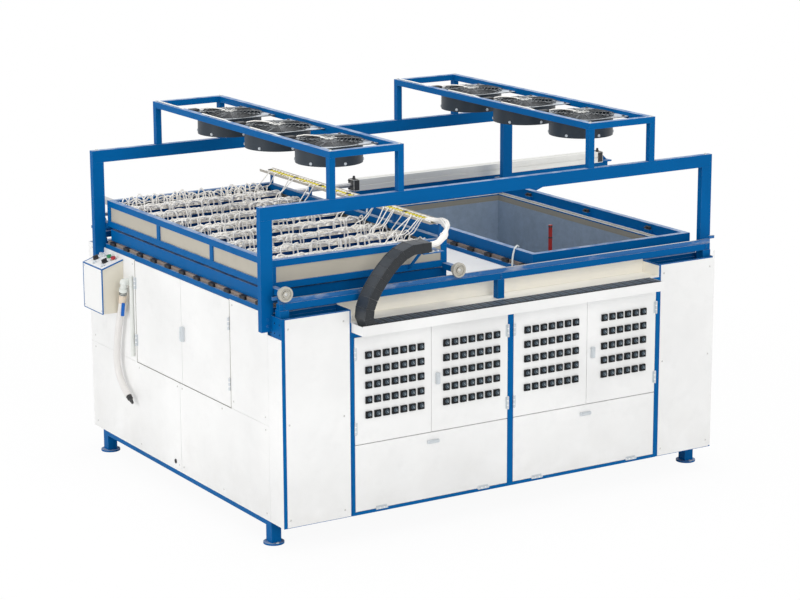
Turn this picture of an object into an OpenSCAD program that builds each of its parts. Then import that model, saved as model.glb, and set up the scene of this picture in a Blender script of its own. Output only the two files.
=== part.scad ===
// Two-station sheet vacuum former with a shuttle oven.
// Working axes: X along the front from the left wall, Y to the back from the
// front face, Z up from the floor. place() then moves the machine so that the
// origin lies on the floor, midway between the four floor anchor holes.

/* [Body] */
// Length of the body along the front
body_w = 2400; // [2300:10:2500]
// Depth of the drive bay behind the working area
drive_bay = 51; // [40:1:120]
// Height of the panels' lower edge above the floor
leg_h = 109; // [90:1:140]
// Height of the white panels
panel_h = 955; // [900:5:1000]
// Thickness of the sheet-metal panels
sheet = 2; // [1:0.5:3]
// Side of the square tube of the body frame
frame_tube = 50; // [40:1:50]
// Wall of every steel tube
tube_wall = 3; // [2:0.5:4]
// Diameter of a foot plate
foot_d = 96; // [90:1:110]
// Thickness of a foot plate
foot_t = 8; // [5:1:12]
// Diameter of a floor anchor hole
anchor_d = 10; // [8:0.5:11]

/* [Front] */
// Width of the left front column
column_left_w = 350; // [300:5:380]
// Width of the right front column
column_right_w = 338; // [300:2:380]
// Height of the open-topped columns above the panels' lower edge
column_h = 958; // [940:1:980]
// Height of the lower doors' upper edge above the panels' lower edge
split_h = 329; // [280:1:360]
// Height of the switch doors' upper edge above the panels' lower edge
door_top = 826; // [800:1:835]
// Depth of a front door's pan
door_t = 20; // [12:1:25]
// Gap round a door
door_gap = 2; // [1:0.5:3]
// Width of the post between the two pairs of doors
centre_post = 30; // [24:1:40]
// Side of a switch module
switch_w = 32; // [26:1:36]
// Distance between switch columns
switch_dx = 46; // [42:0.5:48]
// Distance between switch rows
switch_dz = 69; // [60:1:72]
// How far a switch module stands out of its door
switch_t = 8; // [5:1:10]
// Height of the cable trough's wall
trough_h = 46; // [44:1:60]
// Depth of the cable trough, front to back
trough_d = 102; // [100:1:120]
// Gap between the cable trough's right end and the right column
trough_gap = 48; // [2:1:80]

/* [Stations] */
// Outer width of a clamp frame
clamp_w = 934; // [880:2:940]
// Outer length of a clamp frame, front to back
clamp_l = 1606; // [1500:2:1610]
// Height of a clamp frame
clamp_h = 55; // [45:1:55]
// Width of a clamp frame's tube
clamp_tube = 30; // [24:1:36]
// Width of the clamp flange at the two sides
flange_x = 80; // [70:1:90]
// Width of the clamp flange at front and rear
flange_y = 55; // [50:1:65]
// Height of the lower station frame
seat_frame_h = 22; // [18:1:24]
// Height of the strip that carries the black stop blocks
strip_h = 16; // [14:1:18]
// Distance between stop blocks
block_pitch = 152; // [140:1:170]
// Depth of a forming chamber below the seal
chamber_h = 430; // [400:5:460]
// Thickness of a chamber wall
chamber_t = 3; // [2:0.5:4]
// Thickness of a mould table
table_t = 12; // [8:1:16]
// Lift of a mould table
table_lift = 320; // [250:5:330]
// Diameter of a table lift rod
lift_rod_d = 36; // [30:1:40]

/* [Oven] */
// Length of the oven along the front
oven_w = 920; // [880:2:924]
// Length of the oven, front to back
oven_l = 1664; // [1600:2:1668]
// Height of the oven's frame
oven_h = 130; // [120:1:140]
// Side of the oven's square tube
oven_tube = 30; // [24:1:30]
// Heating elements along the front
element_nx = 9; // [7:1:9]
// Heating elements from front to back
element_ny = 15; // [12:1:15]
// Size of a ceramic element along the front
element_w = 84; // [70:1:88]
// Size of a ceramic element from front to back
element_l = 60; // [50:1:90]
// Height of the terminal tray above the oven
tray_rise = 66; // [50:1:90]
// Travel of the oven from the left station to the right one
oven_travel = 1410; // [1300:5:1410]
// Radius of a wheel's flange
wheel_r = 34; // [30:0.5:38]
// Radius of a wheel's tread
tread_r = 24; // [20:0.5:26]
// Radius of a wheel's axle
axle_r = 8; // [6:0.5:10]

/* [Rails] */
// Side of the rail beam's square tube
beam_tube = 30; // [24:1:36]
// Height of the flat rail on its beam
rail_h = 20; // [16:1:24]
// Width of the flat rail
rail_w = 12; // [8:1:14]

/* [Gantry] */
// Height of the gantry frames' upper edge above the floor
gantry_top = 1550; // [1500:5:1650]
// Height of a gantry tube's section
gantry_a = 60; // [50:1:60]
// Depth of a gantry tube's section
gantry_b = 30; // [24:1:30]
// Height of a post's lower end above the floor
gantry_foot = 993; // [985:1:1040]
// Height of a fan frame above the gantry
fan_frame_h = 214; // [180:2:260]
// Outer width of a fan frame
fan_frame_w = 385; // [375:1:420]
// Side of a fan frame's square tube
fan_tube = 30; // [24:1:30]
// Distance of each fan frame's middle from the machine's middle
fan_offset = 703; // [650:1:720]
// Outer diameter of a fan duct
fan_d = 310; // [280:1:312]
// Height of a fan duct
fan_duct_h = 90; // [80:1:120]
// Distance between fans
fan_pitch = 480; // [420:5:500]
// Number of blades of a fan
fan_blades = 5; // [3:1:7]

/* [Drive] */
// Side of the drive cylinder's section
cylinder_s = 60; // [50:1:66]
// Length of the drive cylinder with its end caps
cylinder_l = 1633; // [1560:1:1700]
// Diameter of the piston rod
piston_rod_d = 25; // [20:1:28]
// Width of the drag chain
chain_w = 90; // [80:1:94]
// Thickness of the drag chain
chain_t = 46; // [40:1:48]

/* [Controls] */
// Depth of the control box from the wall
box_x = 115; // [100:1:130]
// Width of the control box along the wall
box_y = 215; // [190:1:230]
// Height of the control box at its outer edge
box_h = 224; // [200:1:240]
// Rise of the control box's sloping top
box_slope = 37; // [25:1:50]
// Diameter of a push button
button_d = 24; // [18:1:28]
// Travel of a push button
button_travel = 4; // [2:0.5:5]
// Diameter of a selector knob
knob_d = 28; // [20:1:32]
// Diameter of the air hose
hose_d = 34; // [30:1:36]

/* [Hidden] */

seat = 0.3;      // gap between pieces that rest on each other
weld = 0.2;      // gap between the tubes of one frame
$fn = 48;

blue = [0.07, 0.38, 0.66];
white = [0.95, 0.95, 0.93];
steel = [0.6, 0.6, 0.62];
dark = [0.16, 0.19, 0.23];

// Levels
z_top = leg_h + panel_h;
z_column = leg_h + column_h;
z_seat_frame = z_top + seat;
z_strip = z_seat_frame + seat_frame_h + seat;
z_clamp = z_strip + strip_h + seat;
clamp_flange_t = 5.5;
lug_pitch = 520;
z_clamp_top = z_clamp + clamp_h;
oven_clear = 12;
z_oven = z_clamp_top + oven_clear;
z_oven_top = z_oven + oven_h;

// Frame posts: each gantry post stands half outside the wall, in front of a frame post
post_out = 46;
gantry_y = 98;
upright_y = gantry_y + gantry_b + seat;
oven_front = 136;
station_front = 165;
work_mid = max(oven_front + oven_l / 2, station_front + clamp_l / 2);
body_d = 2 * work_mid + drive_bay;
rear_gantry_y = 2 * work_mid - gantry_y - gantry_b;
rear_upright_y = rear_gantry_y + gantry_b + seat;
skin = sheet + 1.2;
anchor_in = foot_d / 2 - anchor_d / 2 - 6.5;
foot_x = skin + frame_tube / 2;
foot_front_y = upright_y + frame_tube / 2;
foot_rear_y = rear_upright_y + frame_tube / 2;
anchor_y0 = foot_front_y - anchor_in;
anchor_y1 = foot_rear_y + anchor_in;

// Stations
station_x = [25, body_w - 25 - clamp_w];
station_y = work_mid - clamp_l / 2;
post_in = post_out - gantry_a;

// Rails: mirrored about the middle of the working area
beam_y = 30;
z_beam = z_clamp_top - 60;
z_rail = z_beam + beam_tube + seat;
z_axle = z_rail + rail_h + seat + tread_r;
rail_y = beam_y + 5;
wheel_y = 12;
flange_t = 16;
tread_t = 22;
beam_end = 8;

// Oven
oven_x = 22;
oven_y = work_mid - oven_l / 2;
wheel_in = 10;
wheel_x = [oven_x + wheel_in, oven_x + oven_w - wheel_in];

// Front
split_z = leg_h + split_h;
door_z = leg_h + door_top;
jamb = 15;
door_x0 = column_left_w + jamb;
door_x1 = body_w - column_right_w - jamb;
post_x = (door_x0 + door_x1) / 2;
bottom_rail = 15;
recess_y = upright_y - sheet - seat;
frame_depth = 40;
z_trough = z_clamp_top - 194;
shelf_top = z_trough + trough_h - 2;
trough_x0 = column_left_w + 2;
trough_x1 = body_w - column_right_w - trough_gap;

module place() translate([-body_w / 2, -(anchor_y0 + anchor_y1) / 2, 0]) children();

// A square or rectangular steel tube: corner, size, the axis it runs along (0, 1 or 2)
// and how thick its end caps are, 0 for an open end
module tube(corner, size, along, cap_low = 0, cap_high = 0) {
  low = [for (i = [0:2]) i == along ? (cap_low > 0 ? cap_low : -1) : tube_wall];
  high = [for (i = [0:2]) i == along ? (cap_high > 0 ? cap_high : -1) : tube_wall];
  translate(corner) difference() {
    cube(size);
    translate(low) cube(size - low - high);
  }
}

// Four tubes round a rectangle from [x0, y0] to [x1, y1]
module tube_ring(x0, y0, x1, y1, z, w, h) {
  for (x = [x0, x1 - w]) tube([x, y0, z], [w, y1 - y0, h], 1, tube_wall, tube_wall);
  for (y = [y0, y1 - w]) tube([x0 + w + weld, y, z], [x1 - x0 - 2 * w - 2 * weld, w, h], 0);
}

// Four flat bars round a rectangle, wx wide at the sides and wy at front and rear
module flat_ring(x0, y0, x1, y1, z, wx, wy, h) {
  for (x = [x0, x1 - wx]) translate([x, y0, z]) cube([wx, y1 - y0, h]);
  for (y = [y0, y1 - wy])
    translate([x0 + wx + weld, y, z]) cube([x1 - x0 - 2 * wx - 2 * weld, wy, h]);
}

module plate(corner, size) translate(corner) cube(size);

// ---- Feet and frame ----
module feet() color(blue) {
  for (x = [foot_x, body_w - foot_x], side = [-1, 1]) {
    y = side < 0 ? foot_front_y : foot_rear_y;
    difference() {
      translate([x, y, 0]) cylinder(d = foot_d, h = foot_t);
      translate([x, y + side * anchor_in, -1]) cylinder(d = anchor_d, h = foot_t + 2);
    }
  }
}

module base_frame() color(blue) {
  t = frame_tube;
  rail_z = leg_h - t / 2;
  x_far = body_w - skin - t;
  run_y0 = upright_y + t + weld;
  run_y1 = rear_upright_y - weld;
  back_y = body_d - sheet - seat - t;
  stub_y = rear_upright_y + t + weld;
  for (x = [skin, x_far]) {
    for (y = [upright_y, rear_upright_y])
      tube([x, y, foot_t + weld], [t, t, z_top - foot_t - weld], 2, 0, tube_wall);
    tube([x, back_y, leg_h], [t, t, panel_h], 2, 0, tube_wall);
    tube([x, run_y0, rail_z], [t, run_y1 - run_y0, t], 1);
    tube([x, run_y0, z_top - t], [t, rear_gantry_y - seat - run_y0, t], 1, tube_wall, tube_wall);
    tube([x + (x < t ? gantry_a - post_out - skin + seat : 0), rear_gantry_y - seat + weld, z_top - t],
         [t - gantry_a + post_out + skin - seat, run_y1 - rear_gantry_y + seat - weld, t], 1);
    tube([x, stub_y, rail_z + t / 2], [t, back_y - weld - stub_y, t / 2], 1);
    tube([x, stub_y, z_top - t], [t, back_y - weld - stub_y, t], 1);
  }
  cross_x = skin + t + weld;
  cross_l = body_w - 2 * cross_x;
  for (y = [upright_y, rear_upright_y], z = [rail_z, z_top - t])
    tube([cross_x, y, z], [cross_l, t, t], 0);
  tube([cross_x, back_y, z_top - t], [cross_l, t, t], 0);
  // Rails under the stations' inner edges
  for (x = [station_x[0] + clamp_w - t + 20, station_x[1] - 20])
    tube([x, run_y0, z_top - t], [t, run_y1 - run_y0, t], 1);
  // Door frame in the front
  frame_z = leg_h + bottom_rail;
  for (x = [door_x0 - jamb + weld, door_x1])
    tube([x, 0, leg_h], [jamb - weld, frame_depth, door_z + door_gap - leg_h], 2, tube_wall, tube_wall);
  tube([post_x - centre_post / 2, 0, frame_z + weld],
       [centre_post, frame_depth, door_z + door_gap - frame_z - 2 * weld], 2);
  tube([door_x0 + weld, 0, leg_h], [door_x1 - door_x0 - 2 * weld, frame_depth, bottom_rail], 0);
  tube([door_x0 - jamb + weld, 0, door_z + door_gap + weld],
       [door_x1 - door_x0 + 2 * jamb - 2 * weld, frame_depth, shelf_top - sheet - 2 * weld - door_z - door_gap], 0);
  // Arms that tie the door frame to the front cross tube
  for (x = [door_x0, post_x - centre_post / 2, door_x1 - centre_post])
    tube([x, frame_depth + weld, leg_h], [centre_post, upright_y - frame_depth - 2 * weld, 25], 1);
}

// ---- White sheet metal ----
notch_y = gantry_y + gantry_b + 2;
cover_drop = 95;
side_y0 = work_mid - 482;
side_y1 = work_mid + 492;
side_z = leg_h + 445;
seam = work_mid + 36;
module body_panels() color(white) {
  t = sheet;
  // Left wall: strips beside the doors and two lower panels
  plate([0, notch_y, side_z], [t, side_y0 - weld - notch_y, z_top - side_z]);
  plate([0, side_y1 + weld, side_z], [t, rear_gantry_y - 2 - side_y1 - weld, z_top - side_z]);
  plate([0, rear_gantry_y - 1.5, side_z], [t, gantry_b + 3, gantry_foot - 3 - side_z]);
  plate([0, rear_gantry_y + gantry_b + 2, side_z],
        [t, body_d - rear_gantry_y - gantry_b - 2, z_top - side_z]);
  plate([0, notch_y, leg_h], [t, seam - 1 - notch_y, side_z - leg_h - 1]);
  plate([0, seam + 1, leg_h], [t, body_d - seam - 1, side_z - leg_h - 1]);
  // Right wall
  plate([body_w - t, notch_y, leg_h], [t, seam - 1 - notch_y, panel_h]);
  plate([body_w - t, seam + 1, leg_h], [t, rear_gantry_y - 2 - seam - 1, panel_h]);
  plate([body_w - t, rear_gantry_y - 1.5, leg_h], [t, gantry_b + 3, gantry_foot - 3 - leg_h]);
  plate([body_w - t, rear_gantry_y + gantry_b + 2, leg_h],
        [t, body_d - rear_gantry_y - gantry_b - 2, panel_h]);
  // Rear wall in two halves
  for (x = [t + seat, body_w / 2 + 1])
    plate([x, body_d - t, leg_h], [body_w / 2 - 1 - t - seat, t, panel_h]);
  // Covers of the front columns: front, outer side and inner return
  cover_w = [column_left_w - 24, column_right_w - 24];
  plate([17, 0, leg_h + 3], [cover_w[0], t, column_h - 8]);
  plate([body_w - column_right_w + 12, 0, leg_h + 3], [cover_w[1], t, column_h - 8]);
  for (x = [0, body_w - t])
    plate([x, t + t + 2 * seat, leg_h], [t, notch_y - 2 * t - 3 * seat - 0.5, column_h - cover_drop]);
  for (x = [column_left_w, body_w - column_right_w - t])
    plate([x, seat, shelf_top + weld], [t, recess_y - 2 * seat, z_column - 7 - shelf_top]);
  // Recess above the doors: shelf and rear sheet
  shelf_x = column_left_w + t + seat;
  shelf_w = body_w - column_right_w - column_left_w - 2 * t - 2 * seat;
  plate([shelf_x - t, 0, shelf_top - t], [shelf_w + 2 * t, recess_y - seat, t]);
  plate([shelf_x, recess_y, shelf_top - t], [shelf_w, t, z_beam + 5 - shelf_top]);
  // Deck between the stations
  deck_x = station_x[0] + clamp_w + 22 + seat;
  plate([deck_x, upright_y, z_seat_frame], [station_x[1] - 22 - seat - deck_x,
        2 * work_mid - beam_y - beam_tube - 10 - upright_y, t]);
}

// Blue open-topped boxes behind the white covers of the front columns
module column_boxes() color(blue) {
  t = sheet;
  for (side = [0, 1]) {
    x0 = side == 0 ? 0 : body_w - column_right_w;
    w = side == 0 ? column_left_w : column_right_w;
    outer = side == 0 ? x0 + t + seat : x0 + w - 2 * t - seat;
    inner = side == 0 ? x0 + w - t - seat : x0 + seat;
    depth = gantry_y - seat - 2 * t - 3 * seat;
    plate([x0, t + seat, leg_h], [w, t, column_h]);
    difference() {
      plate([outer, 2 * t + 2 * seat, leg_h], [t, depth, column_h]);
      for (dz = [30, 75], y = [25, 70])
        translate([outer - 1, y, z_column - dz]) rotate([0, 90, 0]) cylinder(d = 9, h = t + 2);
    }
    plate([inner, 2 * t + 2 * seat, leg_h], [t, recess_y - 2 * t - 3 * seat, column_h]);
    back_x = side == 0 ? gantry_a - post_out + seat : x0;
    back_w = w - gantry_a + post_out - seat;
    plate([back_x, recess_y, leg_h], [back_w, t, column_h - 20]);
  }
  // Posts that carry the front rail beam, with their feet
  for (x = [beam_end, body_w - beam_end - 45]) {
    tube([x, beam_y - 4, z_top - 300], [45, 45, z_beam - seat - z_top + 300], 2, tube_wall, tube_wall);
    tube([x, beam_y + 41 + weld, z_top - 110], [30, recess_y - beam_y - 41 - 2 * weld, 30], 1);
  }
  tube([post_x - 53, beam_y, shelf_top + seat], [36, 36, z_beam - 2 * seat - shelf_top],
       2, tube_wall, tube_wall);
}

// Trough for the drag chain along the front, under the rail beam
module cable_trough() color(white) {
  t = sheet;
  x0 = trough_x0;
  w = trough_x1 - trough_x0;
  plate([x0, -trough_d, z_trough], [w, t, trough_h]);
  plate([x0, -trough_d + t + weld, z_trough], [w, trough_d - 2 * t - 2 * weld - seat, t]);
  plate([x0, -t - seat, z_trough], [w, t, trough_h - 4]);
  for (x = [x0, x0 + w - t])
    plate([x, -trough_d + t + weld, z_trough + t + weld],
          [t, trough_d - 2 * t - 2 * weld - seat, trough_h - t - weld - 4]);
}

// ---- Rails and gantry ----
module both_rails() {
  children();
  translate([0, 2 * work_mid, 0]) mirror([0, 1, 0]) children();
}

module rail_beams() color(blue) {
  both_rails() tube([beam_end, beam_y, z_beam], [body_w - 2 * beam_end, beam_tube, beam_tube],
                    0, tube_wall, tube_wall);
  // Short feet under the rear beam, on the frame's cross tube
  y1 = rear_upright_y + frame_tube;
  y0 = 2 * work_mid - beam_y - beam_tube + 1;
  for (x = [beam_end, body_w / 2 - 20, body_w - beam_end - 40])
    tube([x, y0 - 8, z_top + seat], [40, y1 - y0 + 8, z_beam - z_top - 2 * seat], 2, tube_wall, tube_wall);
}

module wheel_rails() color(steel) {
  both_rails() {
    plate([beam_end, rail_y, z_rail], [body_w - 2 * beam_end, rail_w, rail_h]);
    for (x = [beam_end - 30, body_w - beam_end])
      plate([x, rail_y, z_rail + rail_h + weld], [30, rail_w, 14]);
  }
}

module gantry_frames() color(blue) {
  for (y = [gantry_y, rear_gantry_y]) {
    for (x = [-post_out, body_w + post_out - gantry_a])
      tube([x, y, gantry_foot], [gantry_a, gantry_b, gantry_top - gantry_a - weld - gantry_foot],
           2, tube_wall, tube_wall);
    tube([-post_out, y, gantry_top - gantry_a], [body_w + 2 * post_out, gantry_b, gantry_a],
         0, tube_wall, tube_wall);
  }
}

fan_x = [body_w / 2 - fan_offset, body_w / 2 + fan_offset];
z_fan_top = gantry_top + fan_frame_h;
module fan_frames() color(blue) {
  w = fan_frame_w;
  for (x = fan_x) {
    tube_ring(x - w / 2, gantry_y, x + w / 2, rear_gantry_y + gantry_b,
              z_fan_top - fan_tube, fan_tube, fan_tube);
    for (px = [x - w / 2, x + w / 2 - fan_tube], py = [gantry_y, rear_gantry_y + gantry_b - fan_tube])
      tube([px, py, gantry_top + seat], [fan_tube, fan_tube, fan_frame_h - fan_tube - 2 * seat], 2);
  }
}

// ---- Fans ----
fan_ahead = 56;    // the middle fan sits this far in front of the middle
fan_y = [for (i = [-1:1]) work_mid - fan_ahead + i * fan_pitch];
z_fan_plate = z_fan_top - 21;
fan_plate_t = 3;
module fan_ducts() color(dark) {
  w = fan_frame_w - 2 * fan_tube - 2 * seat;
  for (x = fan_x, y = fan_y) translate([x, y, 0]) {
    difference() {
      union() {
        translate([-w / 2, -fan_d / 2 - 12, z_fan_plate]) cube([w, fan_d + 24, fan_plate_t]);
        translate([0, 0, z_fan_plate - fan_duct_h]) cylinder(d = fan_d, h = fan_duct_h + 1, $fn = 96);
      }
      translate([0, 0, z_fan_plate - fan_duct_h - 1])
        cylinder(d = fan_d - 2 * fan_plate_t, h = fan_duct_h + 6, $fn = 96);
    }
    // Spider that holds the motor in the air stream
    translate([0, 0, z_fan_plate + fan_plate_t + seat]) {
      cylinder(d = 96, h = 4);
      for (a = [45, 135]) rotate(a) translate([-fan_d / 2 - 4, -5, 0]) cube([fan_d + 8, 10, 4]);
    }
  }
}

module fan_rotor(i, j) color([0.12, 0.12, 0.13]) translate([fan_x[i], fan_y[j], 0]) {
  hub_h = 52;
  reach = fan_d / 2 - fan_plate_t - 5;
  top = z_fan_plate + fan_plate_t;
  translate([0, 0, top - hub_h]) cylinder(d = 92, h = hub_h);
  for (b = [0:fan_blades - 1]) rotate(b * 360 / fan_blades)
    intersection() {
      translate([40, 0, top - hub_h / 2 - 6]) rotate([28, 0, 0]) translate([0, -44, -1.5])
        cube([reach, 88, 3]);
      translate([0, 0, top - 90]) cylinder(r = reach, h = 110, $fn = 96);
    }
}

// ---- Forming stations ----
seal_w = 20;
chamber_top = z_seat_frame + 10;
chamber_z = chamber_top - chamber_h;
rod_in = 42;
lift_x = [-250, 250];
lift_hole = lift_rod_d + 4;
module chambers() color([0.55, 0.6, 0.66]) {
  t = chamber_t;
  for (x = station_x) {
    x0 = x + flange_x;
    x1 = x + clamp_w - flange_x;
    y0 = station_y + flange_y;
    y1 = station_y + clamp_l - flange_y;
    for (px = [x0 - t, x1]) plate([px, y0 - t, chamber_z], [t, y1 - y0 + 2 * t, chamber_h]);
    for (py = [y0 - t, y1]) plate([x0 + weld, py, chamber_z], [x1 - x0 - 2 * weld, t, chamber_h]);
    difference() {
      plate([x0 - t, y0 - t, chamber_z - t - weld], [x1 - x0 + 2 * t, y1 - y0 + 2 * t, t]);
      for (dx = lift_x)
        translate([x + clamp_w / 2 + dx, work_mid, chamber_z - t - 2]) cylinder(d = lift_hole, h = t + 4);
    }
  }
}

// Lower frames of the stations, bolted to the body, with holes for the clamp rods
module station_frames() color(blue) {
  out = 22;
  for (x = station_x) difference() {
    flat_ring(x - out, station_y - 20, x + clamp_w + out, station_y + clamp_l + 20, z_seat_frame,
              out + flange_x - chamber_t - seat, 20 + flange_y - chamber_t - seat, seat_frame_h);
    clamp_rods(x, 22);
  }
}

module clamp_rods(x, d)
  for (rx = [x + rod_in, x + clamp_w - rod_in], ry = [station_y + rod_in + 2, station_y + clamp_l - rod_in - 2])
    translate([rx, ry, z_seat_frame - 130]) cylinder(d = d, h = z_clamp - z_seat_frame + 129.9);

// Steel strip round each station and the black stop blocks on its outer face
module stop_blocks() color(dark) {
  w = 14;
  for (x = station_x) {
    flat_ring(x - 12, station_y - 12, x + clamp_w + 12, station_y + clamp_l + 12, z_strip, w, w, strip_h);
    for (i = [-5:5], px = [x - 12 - 10 + weld - weld, x + clamp_w + 12])
      plate([px + (px < x ? -weld : weld), work_mid + i * block_pitch * 0.985 - 25, z_strip], [9.6, 50, strip_h - 1]);
  }
}

module seals() color([0.36, 0.35, 0.29]) {
  for (x = station_x) {
    x0 = x + flange_x;
    x1 = x + clamp_w - flange_x;
    y0 = station_y + flange_y;
    y1 = station_y + clamp_l - flange_y;
    flat_ring(x0 - seal_w, y0 - seal_w, x1 + seal_w, y1 + seal_w, z_strip, seal_w, seal_w, strip_h);
    flat_ring(x0 - chamber_t, y0 - chamber_t, x1 + chamber_t, y1 + chamber_t,
              chamber_top + seat, chamber_t, chamber_t, z_strip - chamber_top - 2 * seat);
  }
}

module clamp_frame(x) color(blue) {
  tube_ring(x, station_y, x + clamp_w, station_y + clamp_l, z_clamp + clamp_flange_t + weld,
            clamp_tube, clamp_h - clamp_flange_t - weld);
  flat_ring(x, station_y, x + clamp_w, station_y + clamp_l, z_clamp, flange_x, flange_y, clamp_flange_t);
  clamp_rods(x, 20);
  // Lugs that the clamp screws press on, along the two sides
  for (i = [-1:1], side = [0, 1])
    plate([side == 0 ? x + clamp_tube + weld : x + clamp_w - clamp_tube - 18 - weld,
           work_mid + i * lug_pitch - 20, z_clamp + clamp_flange_t + weld], [18, 40, 22]);
}

table_z = chamber_z + 75;
module mould_table(x) color([0.62, 0.64, 0.66]) {
  gap = 8;
  x0 = x + flange_x + gap;
  y0 = station_y + flange_y + gap;
  w = clamp_w - 2 * flange_x - 2 * gap;
  l = clamp_l - 2 * flange_y - 2 * gap;
  union() {
    difference() {
      plate([x0, y0, table_z], [w, l, table_t]);
      translate([x + clamp_w / 2 + 60, work_mid - 200, table_z - 1]) cylinder(d = 26, h = table_t + 2);
    }
    for (i = [-1, 0, 1]) plate([x0 + 40, work_mid + i * 500 - 20, table_z - 40], [w - 80, 40, 40.5]);
    for (dx = lift_x)
      translate([x + clamp_w / 2 + dx, work_mid, chamber_z - 400]) cylinder(d = lift_rod_d, h = table_z - chamber_z + 400);
  }
}

// Lift cylinders under the chamber floors
module table_cylinders() color(steel) {
  h = 440;
  z1 = chamber_z - chamber_t - weld - seat;
  for (x = station_x, dx = lift_x) translate([x + clamp_w / 2 + dx, work_mid, 0])
    difference() {
      union() {
        translate([0, 0, z1 - h]) cylinder(d = 64, h = h);
        translate([0, 0, z1 - 12]) cylinder(d = 110, h = 12);
      }
      translate([0, 0, z1 - h + 12]) cylinder(d = lift_rod_d + 1, h = h);
    }
}

// Red gauge posts that stand on the chamber floors
module gauge_posts() color([0.6, 0.12, 0.1])
  for (x = station_x) translate([x + clamp_w / 2 + 60, work_mid - 200, chamber_z + seat])
    cylinder(d = 20, h = z_clamp_top - chamber_z - 20);

// ---- Oven ----
panel_n = 3;
module oven_frame() color(blue) {
  w = oven_tube;
  x1 = oven_x + oven_w;
  y1 = oven_y + oven_l;
  for (z = [z_oven, z_oven_top - w]) tube_ring(oven_x, oven_y, x1, y1, z, w, w);
  post_h = oven_h - 2 * w - 2 * weld;
  span = (oven_l - w) / panel_n;
  for (x = [oven_x, x1 - w], i = [0:panel_n])
    tube([x, oven_y + i * span, z_oven + w + weld], [w, w, post_h], 2);
  // Arms, axles and their guard on both sides
  both_rails() for (x = wheel_x) {
    arm_y = wheel_y + flange_t + tread_t + 2;
    union() {
      tube([x - 15, arm_y, z_axle - 14], [30, oven_y - weld - arm_y, 28], 1, tube_wall, tube_wall);
      translate([x, wheel_y + 1, z_axle]) rotate([-90, 0, 0]) cylinder(r = axle_r, h = arm_y - wheel_y);
    }
  }
  // Bracket that carries the drag chain's end
  cx = chain_points[0][0];
  plate([cx - 45, chain_y, z_oven_top - 5], [110, oven_y - weld - chain_y, 5]);
  brace_h = oven_h - 15 - weld;
  translate([cx + 20, oven_y - weld, z_oven + 10]) rotate([90, 0, 90]) linear_extrude(8)
    polygon([[-4, 0], [0, 0], [0, 12], [-brace_h, brace_h], [-brace_h - 16, brace_h]]);
}

module oven_side_panels() color([0.72, 0.7, 0.66]) {
  t = 4;
  w = oven_tube;
  z = z_oven + w + weld;
  h = oven_h - 2 * w - 2 * weld;
  span = (oven_l - w) / panel_n;
  for (x = [oven_x + 6, oven_x + oven_w - 6 - t], i = [0:panel_n - 1])
    plate([x, oven_y + i * span + w + weld, z], [t, span - w - 2 * weld, h]);
  for (y = [oven_y + 6, oven_y + oven_l - 6 - t])
    plate([oven_x + w + weld, y, z], [oven_w - 2 * w - 2 * weld, t, h]);
}

tray_z = z_oven + 66;
channel_n = 8;
module oven_tray() color([0.05, 0.2, 0.4]) {
  w = oven_tube;
  x0 = oven_x + w + weld;
  l = oven_w - 2 * w - 2 * weld;
  pitch = (oven_l - 2 * w) / channel_n;
  plate([x0, oven_y + w + weld, tray_z], [l, oven_l - 2 * w - 2 * weld, 2]);
  for (i = [0:channel_n - 1])
    plate([x0, oven_y + w + (i + 0.5) * pitch - 35, tray_z + 2 + weld], [l, 70, 22]);
}

module ceramic_elements() color([0.88, 0.86, 0.8]) {
  w = oven_tube;
  px = (oven_w - 2 * w) / element_nx;
  py = (oven_l - 2 * w) / element_ny;
  for (i = [0:element_nx - 1], j = [0:element_ny - 1])
    plate([oven_x + w + (i + 0.5) * px - element_w / 2, oven_y + w + (j + 0.5) * py - element_l / 2,
           tray_z - seat - 30], [element_w, element_l, 30]);
}

module terminal_tray() color(white) {
  w = 76;
  x = oven_x + oven_w - w;
  y = oven_y + 25;
  l = oven_l - 50;
  z = z_oven_top + tray_rise;
  union() {
    plate([x, y, z], [w, l, 2]);
    for (px = [x, x + w - 2]) plate([px, y, z], [2, l, 12]);
  }
  for (i = [0:4])
    plate([oven_x + oven_w - 20, y + 8 + i * (l - 28) / 4, z_oven_top + seat], [12, 12, tray_rise - 2 * seat]);
}

module wheel_pair(x) color([0.8, 0.78, 0.72]) both_rails()
  translate([x, wheel_y, z_axle]) rotate([-90, 0, 0]) difference() {
    union() {
      cylinder(r = wheel_r, h = flange_t, $fn = 72);
      cylinder(r = tread_r, h = flange_t + tread_t, $fn = 72);
    }
    translate([0, 0, -1]) cylinder(r = axle_r + 0.1, h = flange_t + tread_t + 2);
    translate([0, 0, -1]) difference() {
      cylinder(r = wheel_r - 10, h = 5);
      cylinder(r = axle_r + 7, h = 6);
    }
  }

// ---- Drag chain ----
// Middle line of the chain from the oven's bracket down to the trough, in X and Z
z_run = z_trough + sheet + 0.5 + chain_t / 2;
chain_points = [[715, z_oven_top + chain_t / 2 + seat], [668, z_oven_top + chain_t / 2 + seat],
  [620, z_oven_top + 22], [574, z_oven_top + 3], [534, z_oven_top - 26], [499, z_oven_top - 60],
  [467, z_oven_top - 97], [437, z_oven_top - 136], [412, z_oven_top - 177], [394, z_oven_top - 221],
  [389, z_oven_top - 262], [403, z_oven_top - 294], [436, z_run]];
link_pitch = 47;
trough_clear = 12;
run_links = floor((trough_x1 - trough_clear - oven_travel / 2 - chain_points[12][0]) / link_pitch);
chain_y = -chain_w - 5;
bend_n = len(chain_points) - 1;
function way(i) = let (d = chain_points[i + 1] - chain_points[i]) d / norm(d);
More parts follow.
